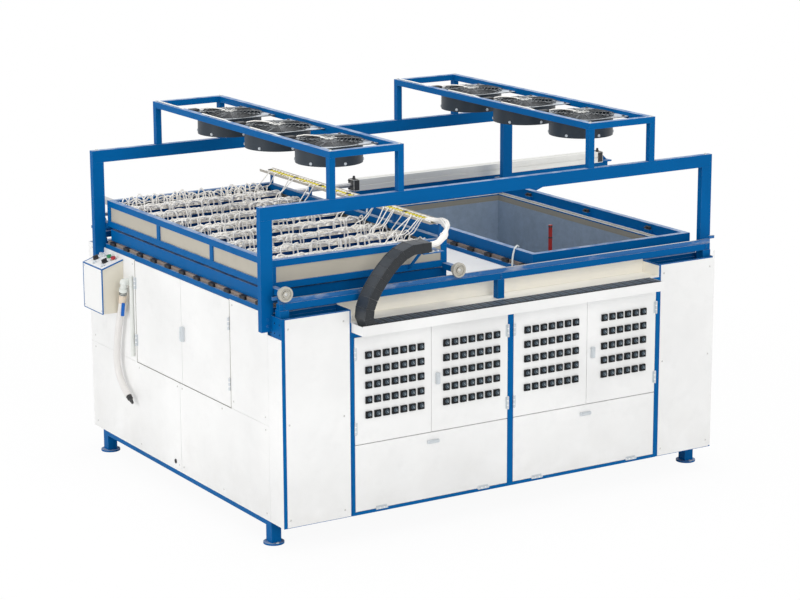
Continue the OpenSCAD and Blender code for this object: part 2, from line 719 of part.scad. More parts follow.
// Offset from the middle line to the chain's outer edge, mitred at every joint
function mitre(i) = let (u = way(max(i - 1, 0)), v = i < bend_n ? way(i) : [1, 0],
  m = u + v, n = [-m[1], m[0]] / norm(m)) n * chain_t / 2 / (n * [-u[1], u[0]]);
module chain_link(a, b, ma, mb, gap = 0.3) {
  g = (b - a) / norm(b - a) * gap;
  translate([0, chain_y + chain_w, 0]) rotate([90, 0, 0]) linear_extrude(chain_w)
    polygon([a + g - ma, b - g - mb, b - g + mb, a + g + ma]);
}
module bend_link(i) chain_link(chain_points[i], chain_points[i + 1], mitre(i), mitre(i + 1));
module chain_loop() color(dark) {
  for (i = [2:bend_n - 1]) bend_link(i);
  for (k = [0:run_links - 1])
    chain_link(chain_points[bend_n] + [k * link_pitch, 0], chain_points[bend_n] + [(k + 1) * link_pitch, 0],
               k == 0 ? mitre(bend_n) : [0, chain_t / 2], [0, chain_t / 2]);
}
module chain_upper_run() color(dark) for (i = [0, 1]) bend_link(i);

// ---- Drive ----
drive_clear = 1;
drive_y = 2 * work_mid - wheel_y + drive_clear + cylinder_s / 2;
drive_tube = 30;
z_drive_beam = z_oven - drive_tube;
z_drive = z_drive_beam + drive_tube + seat + cylinder_s / 2;
cylinder_x = 1512;
cap_l = 36;
bore_d = cylinder_s - 12;
beam_over = 790;
beam_post_in = 40;
brace_z = 945;
brace_reach = 555;
brace_foot = 32;
brace_slant = 92;
end_plate = 60;
end_plate_t = 8;
gusset = [46, 44];
module drive_cylinder() color([0.78, 0.78, 0.76]) {
  s = cylinder_s;
  translate([cylinder_x + cap_l + weld, drive_y, z_drive]) rotate([0, 90, 0]) difference() {
    translate([-s / 2, -s / 2, 0]) cube([s, s, cylinder_l - 2 * cap_l - 2 * weld]);
    translate([0, 0, -1]) cylinder(d = bore_d, h = cylinder_l);
    for (a = [0, 90, 180, 270]) rotate(a) translate([-4, s / 2 - 4, -1]) cube([8, 6, cylinder_l]);
  }
  translate([cylinder_x, drive_y, z_drive]) rotate([0, 90, 0]) difference() {
    translate([-s / 2, -s / 2, 0]) cube([s, s, cap_l]);
    translate([0, 0, -1]) cylinder(d = piston_rod_d + 1, h = cap_l + 2);
  }
  plate([cylinder_x + cylinder_l - cap_l, drive_y - s / 2, z_drive - s / 2], [cap_l, s, s]);
}

// Beam under the cylinder, with the end plate and the brace of its overhang
module cylinder_beam() color(blue) {
  x0 = cylinder_x - 25;
  x1 = body_w + beam_over;
  y = drive_y - drive_tube / 2;
  tube([x0, y, z_drive_beam], [x1 - x0, drive_tube, drive_tube], 0, tube_wall, tube_wall);
  for (x = [x0 + beam_post_in, body_w - skin - beam_post_in])
    tube([x, y, z_top + seat], [drive_tube, drive_tube, z_drive_beam - z_top - 2 * seat], 2,
         tube_wall, tube_wall);
  z_brace = z_drive_beam - weld;
  translate([body_w + seat, y, 0]) rotate([90, 0, 0]) mirror([0, 0, 1]) linear_extrude(drive_tube)
    polygon([[0, brace_z], [brace_reach, z_brace], [brace_reach - brace_slant, z_brace],
             [0, brace_z + brace_foot]]);
  end_x = cylinder_x + cylinder_l + 2;
  end_z = z_drive_beam + drive_tube + seat;
  plate([end_x, drive_y - end_plate / 2, end_z], [end_plate, end_plate, end_plate_t]);
  translate([end_x, drive_y + end_plate_t / 2, end_z + end_plate_t + seat]) rotate([90, 0, 0])
    linear_extrude(end_plate_t) polygon([[0, 0], [gusset[0], 0], [0, gusset[1]]]);
}

rod_out = 32;
piston_l = 30;
clevis_l = 40;
clevis_w = 44;
arm_w = 34;
arm_t = 26;
arm_down = 28;
module piston_rod() color(steel) {
  clevis_x = cylinder_x - oven_travel - rod_out;
  stroke_x = cylinder_x + cap_l + 6;
  translate([clevis_x, drive_y, z_drive]) rotate([0, 90, 0])
    cylinder(d = piston_rod_d, h = stroke_x - clevis_x + 1);
  translate([stroke_x, drive_y, z_drive]) rotate([0, 90, 0]) cylinder(d = bore_d - 1, h = piston_l);
  // Clevis arm to the oven's rear left corner
  arm_y = oven_y + oven_l;
  plate([clevis_x - clevis_l, arm_y + weld, z_oven_top - arm_down],
        [arm_w, drive_y + clevis_w / 2 - arm_y - weld, arm_t]);
  plate([clevis_x - clevis_l, drive_y - clevis_w / 2, z_drive - clevis_w / 2],
        [clevis_l - weld, clevis_w, z_oven_top - arm_down - weld - z_drive + clevis_w / 2]);
}

// ---- Doors ----
hinge_r = 5;
hinge_y = -hinge_r - seat;
mid_left = 771;
mid_right = 2 * post_x - mid_left;
module door_pan(x0, x1, z0, z1) difference() {
  plate([x0, 0, z0], [x1 - x0, door_t, z1 - z0]);
  plate([x0 + sheet, sheet, z0 + sheet], [x1 - x0 - 2 * sheet, door_t, z1 - z0 - 2 * sheet]);
}
knuckle_in = 45;
module hinge_knuckles(x, z0, z1) for (z = [z0 + knuckle_in, z1 - knuckle_in - hinge_l])
  translate([x, hinge_y, z]) cylinder(r = hinge_r, h = hinge_l);
latch_w = 18;
latch_out = 14;
latch_h = 48;
module latch(x, z)
  plate([x - latch_w / 2, -latch_out, z - latch_h / 2], [latch_w, latch_out - seat, latch_h]);

door_edges = [[door_x0 + door_gap, mid_left - door_gap / 2],
              [mid_left + door_gap / 2, post_x - centre_post / 2 - door_gap],
              [post_x + centre_post / 2 + door_gap, mid_right - door_gap / 2],
              [mid_right + door_gap / 2, door_x1 - door_gap]];
door_hinge_x = [door_edges[0][0], door_edges[1][1], door_edges[2][0], door_edges[3][1]];
door_z0 = split_z + door_gap;
door_latch_up = 580;
latch_in = 30;
door_latch_z = leg_h + door_latch_up;
module switch_door(i) color(white) {
  door_pan(door_edges[i][0], door_edges[i][1], door_z0, door_z);
  hinge_knuckles(door_hinge_x[i], door_z0, door_z);
  if (i == 1 || i == 3) latch(door_edges[i][0] + latch_in, door_latch_z);
}

switch_rows = 5;
switch_cols = [7, 7, 7, 6];
switch_x = [437, 850, 1297, 1739];
switch_up = 740;
switch_top = leg_h + switch_up;
module switches(i) color([0.06, 0.06, 0.06]) {
  for (c = [0:switch_cols[i] - 1], r = [0:switch_rows - 1])
    plate([switch_x[i] + c * switch_dx - switch_w / 2, -switch_t,
           switch_top - r * switch_dz - switch_w / 2], [switch_w, switch_t - weld, switch_w]);
}

lower_z0 = leg_h + bottom_rail + door_gap;
hinge_l = 60;
lower_hinge_in = 105;
lower_latch_w = 60;
lower_latch_out = 12;
lower_latch_h = 14;
lower_latch_down = 50;
module lower_door(i) color(white) {
  x0 = i == 0 ? door_x0 + door_gap : post_x + centre_post / 2 + door_gap;
  x1 = i == 0 ? post_x - centre_post / 2 - door_gap : door_x1 - door_gap;
  door_pan(x0, x1, lower_z0, split_z - door_gap);
  for (x = [x0 + lower_hinge_in, x1 - lower_hinge_in - hinge_l])
    translate([x, hinge_y, lower_z0]) rotate([0, 90, 0]) cylinder(r = hinge_r, h = hinge_l);
  plate([(x0 + x1 - lower_latch_w) / 2, -lower_latch_out, split_z - lower_latch_down],
        [lower_latch_w, lower_latch_out - seat, lower_latch_h]);
}

side_mid = (side_y0 + side_y1) / 2;
side_hinge_in = 80;
side_latch_in = 34;
side_latch_up = 214;
side_latch_w = 20;
side_latch_h = 66;
side_latch_out = 16;
module side_door(i) color(white) {
  y0 = i == 0 ? side_y0 + door_gap : side_mid + door_gap / 2;
  y1 = i == 0 ? side_mid - door_gap / 2 : side_y1 - door_gap;
  hy = i == 0 ? y0 : y1;
  z0 = side_z + door_gap;
  z1 = z_top - 4;
  plate([0, y0, z0], [sheet + 0.6, y1 - y0, z1 - z0]);
  for (z = [z0 + side_hinge_in, z1 - side_hinge_in - hinge_l])
    translate([hinge_y, hy, z]) cylinder(r = hinge_r, h = hinge_l);
  if (i == 0)
    plate([-side_latch_out, y1 - side_latch_in, z0 + side_latch_up],
          [side_latch_out - seat, side_latch_w, side_latch_h]);
}

// ---- Controls and air hose ----
box_y0 = rear_gantry_y - box_y - 2;
box_up = 671;
box_z0 = leg_h + box_up;
box_angle = atan2(box_slope, box_x - seat);
module box_outline(d) polygon([[-box_x + d, box_z0 + d], [-seat - d, box_z0 + d],
  [-seat - d, box_z0 + box_h + box_slope - d * 1.1], [-box_x + d, box_z0 + box_h - d * 1.1]]);
module control_box() color(white) {
  t = sheet;
  difference() {
    translate([0, box_y0 + box_y, 0]) rotate([90, 0, 0]) linear_extrude(box_y) box_outline(0);
    translate([0, box_y0 + box_y - t, 0]) rotate([90, 0, 0]) linear_extrude(box_y - 2 * t) box_outline(t);
    for (p = control_places) on_slope(p) translate([0, 0, -10]) cylinder(d = stem_d + 2 * seat, h = 14);
  }
}
// Places on the sloping top: up the slope, along the wall
stem_d = 12;
control_places = [[98, 108], [98, 60], [54, 172], [54, 72]];
module on_slope(p) translate([-box_x, box_y0 + p[1], box_z0 + box_h]) rotate([0, -box_angle, 0])
  translate([p[0], 0, 0]) children();
module button(i, tint) color(tint) on_slope(control_places[i]) {
  translate([0, 0, -20]) cylinder(d = stem_d, h = 21 + button_travel);
  translate([0, 0, button_travel + seat]) cylinder(d = button_d, h = 9);
}
module selector(i) color(dark) on_slope(control_places[i]) {
  translate([0, 0, -20]) cylinder(d = stem_d, h = 21);
  translate([0, 0, seat]) cylinder(d = knob_d, h = 8);
  translate([-knob_d / 2 + 1, -4, 8]) cube([knob_d - 2, 8, 12]);
}

// Middle line of the air hose, from the fitting down to the nozzle
hose_route = [[-33, 1534, 880], [-33, 1541, 850], [-33, 1556, 805], [-33, 1573, 765], [-33, 1588, 722],
  [-33, 1602, 675], [-33, 1613, 630], [-33, 1621, 585], [-33, 1624, 540], [-33, 1617, 497],
  [-33, 1598, 457], [-33, 1570, 424], [-33, 1535, 398], [-33, 1500, 376]];
hose_sides = 12;
function hose_dir(i) = let (n = len(hose_route) - 1, a = hose_route[max(i - 1, 0)],
  b = hose_route[min(i + 1, n)]) (b - a) / norm(b - a);
function hose_ring(i) = let (d = hose_dir(i), v = cross(d, [1, 0, 0]))
  [for (k = [0:hose_sides - 1]) let (q = k * 360 / hose_sides)
    hose_route[i] + hose_d / 2 * (cos(q) * [1, 0, 0] + sin(q) * v)];
module air_hose() color([0.85, 0.85, 0.84, 0.6]) {
  n = len(hose_route);
  m = hose_sides;
  polyhedron(points = [for (i = [0:n - 1]) each hose_ring(i)],
    faces = concat([[for (k = [0:m - 1]) k]],
      [for (i = [0:n - 2], k = [0:m - 1])
        [i * m + k, (i + 1) * m + k, (i + 1) * m + (k + 1) % m, i * m + (k + 1) % m]],
      [[for (k = [m - 1:-1:0]) (n - 1) * m + k]]));
}
module hose_fitting() color([0.8, 0.85, 0.82]) {
  p = hose_route[0];
  d = hose_dir(0);
  translate(p) rotate([atan2(d[1], -d[2]), 0, 0]) translate([0, 0, seat]) {
    cylinder(d = hose_d - 2, h = 66);
    translate([0, 0, 18]) cylinder(d = hose_d + 8, h = 16);
    translate([0, 0, 66]) sphere(d = 40);
    translate([0, 0, 66]) rotate([0, 90, 0]) cylinder(d = 36, h = -p[0] - seat);
  }
  translate([-9 - seat, box_y0 - 103, leg_h + 470]) cylinder(d = 18, h = 400);
}
module hose_nozzle() color([0.08, 0.08, 0.09]) {
  p = hose_route[len(hose_route) - 1];
  d = hose_dir(len(hose_route) - 1);
  a = atan2(-d[1], -d[2]);
  translate(p + d * seat) rotate([180 - a, 0, 0]) {
    cylinder(d = hose_d - 6, h = 18);
    translate([0, 0, 18]) cylinder(d1 = hose_d - 12, d2 = 12, h = 30, $fn = 48);
  }
}

// ---- Vacuum supply inside the body ----
shelf_z = leg_h + frame_tube / 2 + seat;
supply_shelf_t = 4;
supply_shelf_w = 560;
tank_r = 150;
tank_l = 860;
tank_y = work_mid - 638;
tank_rise = 40;
cradle = [220, 30, 90];
cradle_in = [90, 750];
module vacuum_tank() color([0.35, 0.4, 0.45]) {
  z = shelf_z + supply_shelf_t;
  plate([(body_w - supply_shelf_w) / 2, upright_y, shelf_z],
        [supply_shelf_w, rear_upright_y + frame_tube - upright_y, supply_shelf_t]);
  translate([body_w / 2, tank_y, z]) {
    for (dy = cradle_in) difference() {
      plate([-cradle[0] / 2, dy, weld], cradle);
      translate([0, dy - 1, tank_rise + tank_r]) rotate([-90, 0, 0])
        cylinder(r = tank_r + weld, h = cradle[1] + 2, $fn = 96);
    }
    translate([0, 0, tank_rise + tank_r]) rotate([-90, 0, 0]) cylinder(r = tank_r, h = tank_l, $fn = 96);
  }
}

pump_y = work_mid + 352;
pump_base = [240, 420, 20];
pump_head = [190, 180, 200];
motor_r = 85;
motor_l = 200;
motor_foot = [140, 120, 30];
module vacuum_pump() color([0.3, 0.32, 0.36]) translate([body_w / 2, pump_y, shelf_z + supply_shelf_t + seat]) {
  z = pump_base[2] + weld;
  head_end = 20 + pump_head[1];
  plate([-pump_base[0] / 2, 0, 0], pump_base);
  plate([-pump_head[0] / 2, 20, z], pump_head);
  translate([0, head_end + weld, pump_base[2] + 110]) rotate([-90, 0, 0]) cylinder(r = motor_r, h = motor_l);
  plate([-motor_foot[0] / 2, head_end + 40, z], motor_foot);
}

place() {
  feet();
  base_frame();
  body_panels();
  column_boxes();
  cable_trough();
  rail_beams();
  wheel_rails();
  gantry_frames();
  fan_frames();
  fan_ducts();
  fan_rotor(0, 0);  // fan_rotor_left_front
  fan_rotor(0, 1);  // fan_rotor_left_middle
  fan_rotor(0, 2);  // fan_rotor_left_rear
  fan_rotor(1, 0);  // fan_rotor_right_front
  fan_rotor(1, 1);  // fan_rotor_right_middle
  fan_rotor(1, 2);  // fan_rotor_right_rear
  chambers();
  station_frames();
  stop_blocks();
  seals();
  clamp_frame(station_x[0]);  // left_clamp_frame
  clamp_frame(station_x[1]);  // right_clamp_frame
  mould_table(station_x[0]);  // left_mould_table
  mould_table(station_x[1]);  // right_mould_table
  table_cylinders();
  gauge_posts();
  oven_frame();
  oven_side_panels();
  oven_tray();
  ceramic_elements();
  terminal_tray();
  wheel_pair(wheel_x[0]);  // wheels_left
  wheel_pair(wheel_x[1]);  // wheels_right
  chain_loop();
  chain_upper_run();
  drive_cylinder();
  cylinder_beam();
  piston_rod();
  side_door(0);  // side_door_front
  side_door(1);  // side_door_rear
  switch_door(0);  // switch_door_1
  switch_door(1);  // switch_door_2
  switch_door(2);  // switch_door_3
  switch_door(3);  // switch_door_4
  switches(0);  // switches_1
  switches(1);  // switches_2
  switches(2);  // switches_3
  switches(3);  // switches_4
  lower_door(0);  // lower_door_left
  lower_door(1);  // lower_door_right
  control_box();
  button(0, [0.1, 0.55, 0.2]);  // start_button
  button(1, [0.75, 0.1, 0.1]);  // stop_button
  selector(2);  // selector_left
  selector(3);  // selector_right
  hose_fitting();
  air_hose();
  hose_nozzle();
  vacuum_pump();
  vacuum_tank();
}
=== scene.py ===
"""Looks of a two-station sheet vacuum former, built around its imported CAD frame."""
import math
import random
from itertools import product

import bpy
from mathutils import Matrix, Vector


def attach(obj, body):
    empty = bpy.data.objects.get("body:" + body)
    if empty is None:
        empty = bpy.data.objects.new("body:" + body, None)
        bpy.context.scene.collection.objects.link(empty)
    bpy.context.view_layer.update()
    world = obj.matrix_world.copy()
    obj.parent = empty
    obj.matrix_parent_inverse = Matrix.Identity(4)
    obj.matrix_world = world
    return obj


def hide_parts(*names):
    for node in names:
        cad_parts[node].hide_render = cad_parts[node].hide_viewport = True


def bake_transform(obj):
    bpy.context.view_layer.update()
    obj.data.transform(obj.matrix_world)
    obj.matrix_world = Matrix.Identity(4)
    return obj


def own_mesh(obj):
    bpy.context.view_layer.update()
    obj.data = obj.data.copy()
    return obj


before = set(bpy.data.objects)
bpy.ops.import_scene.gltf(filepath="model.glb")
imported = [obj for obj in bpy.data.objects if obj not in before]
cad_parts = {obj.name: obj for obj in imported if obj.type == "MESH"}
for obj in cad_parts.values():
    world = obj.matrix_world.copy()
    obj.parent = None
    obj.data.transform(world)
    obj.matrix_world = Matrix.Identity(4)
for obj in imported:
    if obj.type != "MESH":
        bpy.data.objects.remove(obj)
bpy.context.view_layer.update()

bl_info = {
    "name": "Vacuum former looks",
    "version": (1, 0, 0),
    "blender": (4, 5, 0),
    "location": "View3D > Sidebar > Former",
    "description": "Finishes and fittings for a two-station vacuum former",
    "category": "Object",
}

# Sizes of the machine in millimetres: X from the left wall, Y from the front, Z from the floor
ORIGIN = Vector((1200.0, 1008.3, 0.0))
OVEN_X, OVEN_Y, OVEN_W, OVEN_L = 22.0, 136.0, 920.0, 1664.0
TRAY_Z, TRAY_FLOOR = 1235.9, 1365.9
CHANNELS = 8
CHANNEL_PITCH = (OVEN_L - 60) / CHANNELS
REAR_LEADS_IN, REAR_LEAD_LAYERS = 42.0, 4
ELEMENT_COLUMNS = 9
FAN_X, FAN_Y = (497.0, 1903.0), (432.0, 912.0, 1392.0)
FAN_PLATE_Z = 1743.0
GUARD_Z, GUARD_R = FAN_PLATE_Z + 3.0, 156.0
DUCT_Z, DUCT_R = 1653.0, 155.0
RECESS_LOW, RECESS_HIGH = (333.0, 4.0, 1007.0), (2064.0, 146.0, 1200.0)
STATION_X, STATION_Y, CLAMP_W, CLAMP_L = (25.0, 1441.0), 165.0, 934.0, 1606.0
FLANGE_X, FLANGE_Y, FLANGE_TOP = 80.0, 55.0, 1108.4
LUG_PITCH, LUG_TOP = 520.0, 1130.6
PAD_PITCH = 149.72
AXLE_Z, MID_Y = 1172.5, 968.0
WHEEL_X = (32.0, 932.0)
SWITCH_X, SWITCH_COLUMNS, SWITCH_ROWS = (437.0, 850.0, 1297.0, 1739.0), (7, 7, 7, 6), 5
SWITCH_TOP, SWITCH_DX, SWITCH_DZ = 849.0, 46.0, 69.0
SWITCH_HALF, SWITCH_FACE, BEZEL_W = 16.0, -7.9, 3.5
DOORS = ((367.0, 770.0), (772.0, 1189.0), (1223.0, 1640.0), (1642.0, 2045.0))
DOOR_HINGES = (367.0, 1189.0, 1223.0, 2045.0)
DOOR_Z = (440.0, 935.0)
LOWER_DOORS = ((367.0, 1189.0), (1223.0, 2045.0))
LOWER_Z = (126.0, 436.0)
HINGE_OUT, HINGE_L, HINGE_STEP, HINGE_IN = 5.3, 60.0, 21.0, 45.0
LATCHED_DOORS = (1, 3)
CHAIN_W, CHAIN_T, CHAIN_Y = 90.0, 46.0, -95.0
CHAIN_RUN_Z, RUN_TOP_Z = 989.4, 1323.0
CHAIN_POINTS = ((715.0, 1323.2), (668.0, 1323.2), (620.0, 1321.9), (574.0, 1302.9), (534.0, 1273.9),
                (499.0, 1239.9), (467.0, 1202.9), (437.0, 1163.9), (412.0, 1122.9), (394.0, 1078.9),
                (389.0, 1037.9), (403.0, 1005.9), (436.0, CHAIN_RUN_Z))
CHAIN_LINK, RUN_END, TRAVEL = 47.0, 2000.0, 1410.0
CYLINDER_X, CYLINDER_L, CYLINDER_Y, CYLINDER_Z, CYLINDER_S = 1512.0, 1633.0, 1955.0, 1200.2, 60.0
SLOPE = math.atan2(37.0, 114.7)
BOX_Y, BOX_Z, BOX_DEPTH = 1591.0, 1004.0, 115.0
CONTROLS = {"start": (98.0, 108.0), "stop": (98.0, 60.0),
            "selector_left": (54.0, 172.0), "selector_right": (54.0, 72.0)}
HOSE_ROUTE = ((-33, 1534, 880), (-33, 1541, 850), (-33, 1556, 805), (-33, 1573, 765), (-33, 1588, 722),
              (-33, 1602, 675), (-33, 1613, 630), (-33, 1621, 585), (-33, 1624, 540), (-33, 1617, 497),
              (-33, 1598, 457), (-33, 1570, 424), (-33, 1535, 398), (-33, 1500, 376))


def at(x, y, z):
    """A point of the machine, given in millimetres, in the model's frame in metres."""
    return (Vector((x, y, z)) - ORIGIN) * 0.001


def on_slope(place, out=0.0):
    """A point over the control box's sloping top: up the slope, along the wall and out from it."""
    u, v = place
    return Vector((-BOX_DEPTH + u * math.cos(SLOPE) - out * math.sin(SLOPE), BOX_Y + v,
                   BOX_Z + u * math.sin(SLOPE) + out * math.cos(SLOPE)))


# The camera: its place in machine millimetres and its right, up and backward directions
CAMERA_PLACE, CAMERA_LENS = (-4988.2, -9040.9, 3594.9), 110.04
CAMERA_AXES = ((0.84993911, -0.52686854, -0.00361371), (0.1243456, 0.19391871, 0.97310519),
               (-0.51199774, -0.8275295, 0.23033288))


def channel_y(i):
    """The middle line of a channel on the oven's tray."""
    return OVEN_Y + 30 + (i + 0.5) * CHANNEL_PITCH


# ---- Meshes -----------------------------------------------------------------------------------

def circle(centre, u, v, r, sides):
    """Points round a circle in the plane of the unit vectors u and v."""
    turns = [2 * math.pi * k / sides for k in range(sides)]
    return [centre + (u * math.cos(a) + v * math.sin(a)) * r for a in turns]


class Shape:
    """A mesh that is put together in machine millimetres and then turned into one piece."""

    def __init__(self):
        self.points, self.faces = [], []

    def add(self, points, faces):
        first = len(self.points)
        self.points.extend(map(Vector, points))
        self.faces.extend(tuple(first + i for i in f) for f in faces)

    def skin(self, rings, closed=False):
        """Walls between rings of points, with caps on both ends unless the last joins the first."""
        n, sides = len(rings), len(rings[0])
        faces = []
        for i in range(n if closed else n - 1):
            a, b = i * sides, (i + 1) % n * sides
            faces += [(a + k, a + (k + 1) % sides, b + (k + 1) % sides, b + k) for k in range(sides)]
        if not closed:
            faces += [range(sides - 1, -1, -1), range((n - 1) * sides, n * sides)]
        self.add([p for ring in rings for p in ring], faces)

    def block(self, low, high, chamfer=0.8, turn=None, about=None):
        """A box with chamfered edges, turned about a point when a matrix is given."""
        low, high = Vector(low), Vector(high)
        c = min(chamfer, *((high - low) * 0.45))
        corner, points, faces = {}, [], []
        for key in product((0, 1), repeat=3):
            p = Vector([b if side else a for a, b, side in zip(low, high, key)])
            for axis in range(3):
                q = p + Vector([-c if side else c for side in key])
                q[axis] = p[axis]
                corner[(*key, axis)] = len(points)
                points.append(q)
        for axis in range(3):
            u, v = [a for a in range(3) if a != axis]

            def place(side, su, sv, face):
                key = [0, 0, 0]
                key[axis], key[u], key[v] = side, su, sv
                return corner[(*key, face)]
            for side in (0, 1):
                ring = [place(side, su, sv, axis) for su, sv in ((0, 0), (1, 0), (1, 1), (0, 1))]
                faces.append(ring if (side == 1) == (axis != 1) else ring[::-1])
            for su, sv in product((0, 1), repeat=2):
                ring = [place(0, su, sv, u), place(1, su, sv, u), place(1, su, sv, v), place(0, su, sv, v)]
                faces.append(ring if (su == sv) == (axis != 1) else ring[::-1])
        for key in product((0, 1), repeat=3):
            tri = [corner[(*key, a)] for a in range(3)]
            faces.append(tri if sum(key) % 2 else tri[::-1])
        if turn is not None:
            about = Vector(about)
            points = [turn @ (p - about) + about for p in points]
        self.add(points, faces)

    def lathe(self, base, axis, profile, sides=24):
        """Turns a profile of (radius, height) pairs about the axis from base."""
        base, axis = Vector(base), Vector(axis).normalized()
        u = axis.orthogonal().normalized()
        v = axis.cross(u)
        self.skin([circle(base + axis * h, u, v, r, sides) for r, h in profile])

    def rod(self, a, b, r, sides=16, chamfer=0.6):
        """A round bar from a to b with chamfered ends."""
        a, b = Vector(a), Vector(b)
        length = (b - a).length
        c = min(chamfer, r * 0.4, length * 0.4)
        self.lathe(a, b - a, ((r - c, 0), (r, c), (r, length - c), (r - c, length)), sides)

    def pipe(self, points, r, sides=8, closed=False):
        """A round wire along points, with no twist."""
        points = [Vector(p) for p in points]
        n = len(points)
        ways = []
        for i in range(n):
            a = points[(i - 1) % n] if closed or i else points[i]
            b = points[(i + 1) % n] if closed or i < n - 1 else points[i]
            ways.append((b - a).normalized())
        u = ways[0].orthogonal().normalized()
        rings = []
        for p, w in zip(points, ways):
            u = (u - w * u.dot(w)).normalized()
            rings.append(circle(p, u, w.cross(u), r, sides))
        self.skin(rings, closed)

    def ring(self, centre, axis, radius, r, segments=48, sides=6):
        """A round wire bent to a ring."""
        axis = Vector(axis).normalized()
        u = axis.orthogonal().normalized()
        self.pipe(circle(Vector(centre), u, axis.cross(u), radius, segments), r, sides, closed=True)

    def prism(self, outline, low, high):
        """An outline in X and Z, drawn out along Y from low to high."""
        self.skin([[(x, y, z) for x, z in outline] for y in (high, low)])

    def screw(self, place, out, r=5.0):
        """A domed screw head standing on place."""
        self.lathe(place, out, ((r, 0), (r, r * 0.12), (r * 0.82, r * 0.34), (r * 0.45, r * 0.46),
                                (r * 0.16, r * 0.48)), 14)

    def hex_bolt(self, place, out, r=7.0, washer=True):
        """A hexagon head on a washer, standing on place."""
        place, out = Vector(place), Vector(out).normalized()
        if washer:
            self.lathe(place, out, ((r * 1.45, 0), (r * 1.45, 1.2), (r * 1.3, 1.6)), 20)
        self.lathe(place + out * (1.6 if washer else 0), out, ((r, 0), (r, r * 0.55), (r * 0.84, r * 0.7)), 6)

    def piece(self, name, finish, body, slot, angle=35.0):
        """Turns the mesh into an object with the named finish that rides on a body."""
        mesh = bpy.data.meshes.new(name)
        mesh.from_pydata([(p - ORIGIN) * 0.001 for p in self.points], [], self.faces)
        mesh.validate()
        mesh.shade_smooth()
        mesh.set_sharp_from_angle(angle=math.radians(angle))
        mesh.materials.append(finish_named(finish))
        piece = bpy.data.objects.new(name, mesh)
        bpy.context.scene.collection.objects.link(piece)
        if body is not None:
            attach(piece, body)
        return piece


def shapes(count):
    """Empty shapes to fill together."""
    return [Shape() for _ in range(count)]


def arc_between(a, b, lift, steps=9, sway=(0.0, 0.0, 0.0)):
    """Points of a springy wire from a to b that bows by lift along Z."""
    a, b, sway = Vector(a), Vector(b), Vector(sway)
    points = []
    for k in range(steps + 1):
        t = k / steps
        bow = math.sin(math.pi * t)
        points.append(a.lerp(b, t) + Vector((0, 0, lift)) * bow ** 0.8 + sway * bow)
    return points


def smooth_path(points, steps):
    """A Catmull-Rom curve through the points."""
    points = [Vector(p) for p in points]
    out = []
    n = len(points)
    for i in range(n - 1):
        p0, p1, p2, p3 = points[max(i - 1, 0)], points[i], points[i + 1], points[min(i + 2, n - 1)]
        for k in range(steps):
            t = k / steps
            out.append(0.5 * ((2 * p1) + (p2 - p0) * t + (2 * p0 - 5 * p1 + 4 * p2 - p3) * t * t
                              + (3 * p1 - p0 - 3 * p2 + p3) * t ** 3))
    out.append(points[-1])
    return out


# ---- Finishes ---------------------------------------------------------------------------------

DUST = (0.52, 0.49, 0.44)


class Field:
    """A socket that works like a number: an expression lays down its Math nodes."""

    def __init__(self, nodes, socket):
        self.nodes, self.socket = nodes, socket

    def __add__(self, other):
        return self.nodes.maths("ADD", self, other)

    def __sub__(self, other):
        return self.nodes.maths("SUBTRACT", self, other)

    def __rsub__(self, other):
        return self.nodes.maths("SUBTRACT", other, self)

    def __mul__(self, other):
        return self.nodes.maths("MULTIPLY", self, other)

    __radd__, __rmul__ = __add__, __mul__


class Nodes:
    """Lays down the nodes of one tree."""

    def __init__(self, tree):
        self.tree = tree

    def node(self, kind, settings, *values, out=0, **named):
        """A node with its settings, and with the values or links of its sockets."""
        node = self.tree.nodes.new(kind)
        for key, value in settings.items():
            setattr(node, key, value)
        for key, value in [*enumerate(values), *((k.replace("_", " "), v) for k, v in named.items())]:
            if isinstance(value, Field):
                self.tree.links.new(value.socket, node.inputs[key])
            else:
                node.inputs[key].default_value = value
        return Field(self, node.outputs[out])

    def maths(self, operation, a, b):
        return self.node("ShaderNodeMath", {"operation": operation}, a, b)

    def seen_by(self, *rays):
        """1 for these kinds of ray, 0 for all others."""
        seen, *others = [self.node("ShaderNodeLightPath", {}, out=f"Is {ray} Ray") for ray in rays]
        for other in others:
            seen = self.maths("MAXIMUM", seen, other)
        return seen

    def surface(self, output, amount, a, b):
        """Shows shader a where amount is 0, b where it is 1."""
        mix = self.node("ShaderNodeMixShader", {}, amount, a, b)
        self.tree.links.new(mix.socket, self.tree.nodes[output].inputs["Surface"])


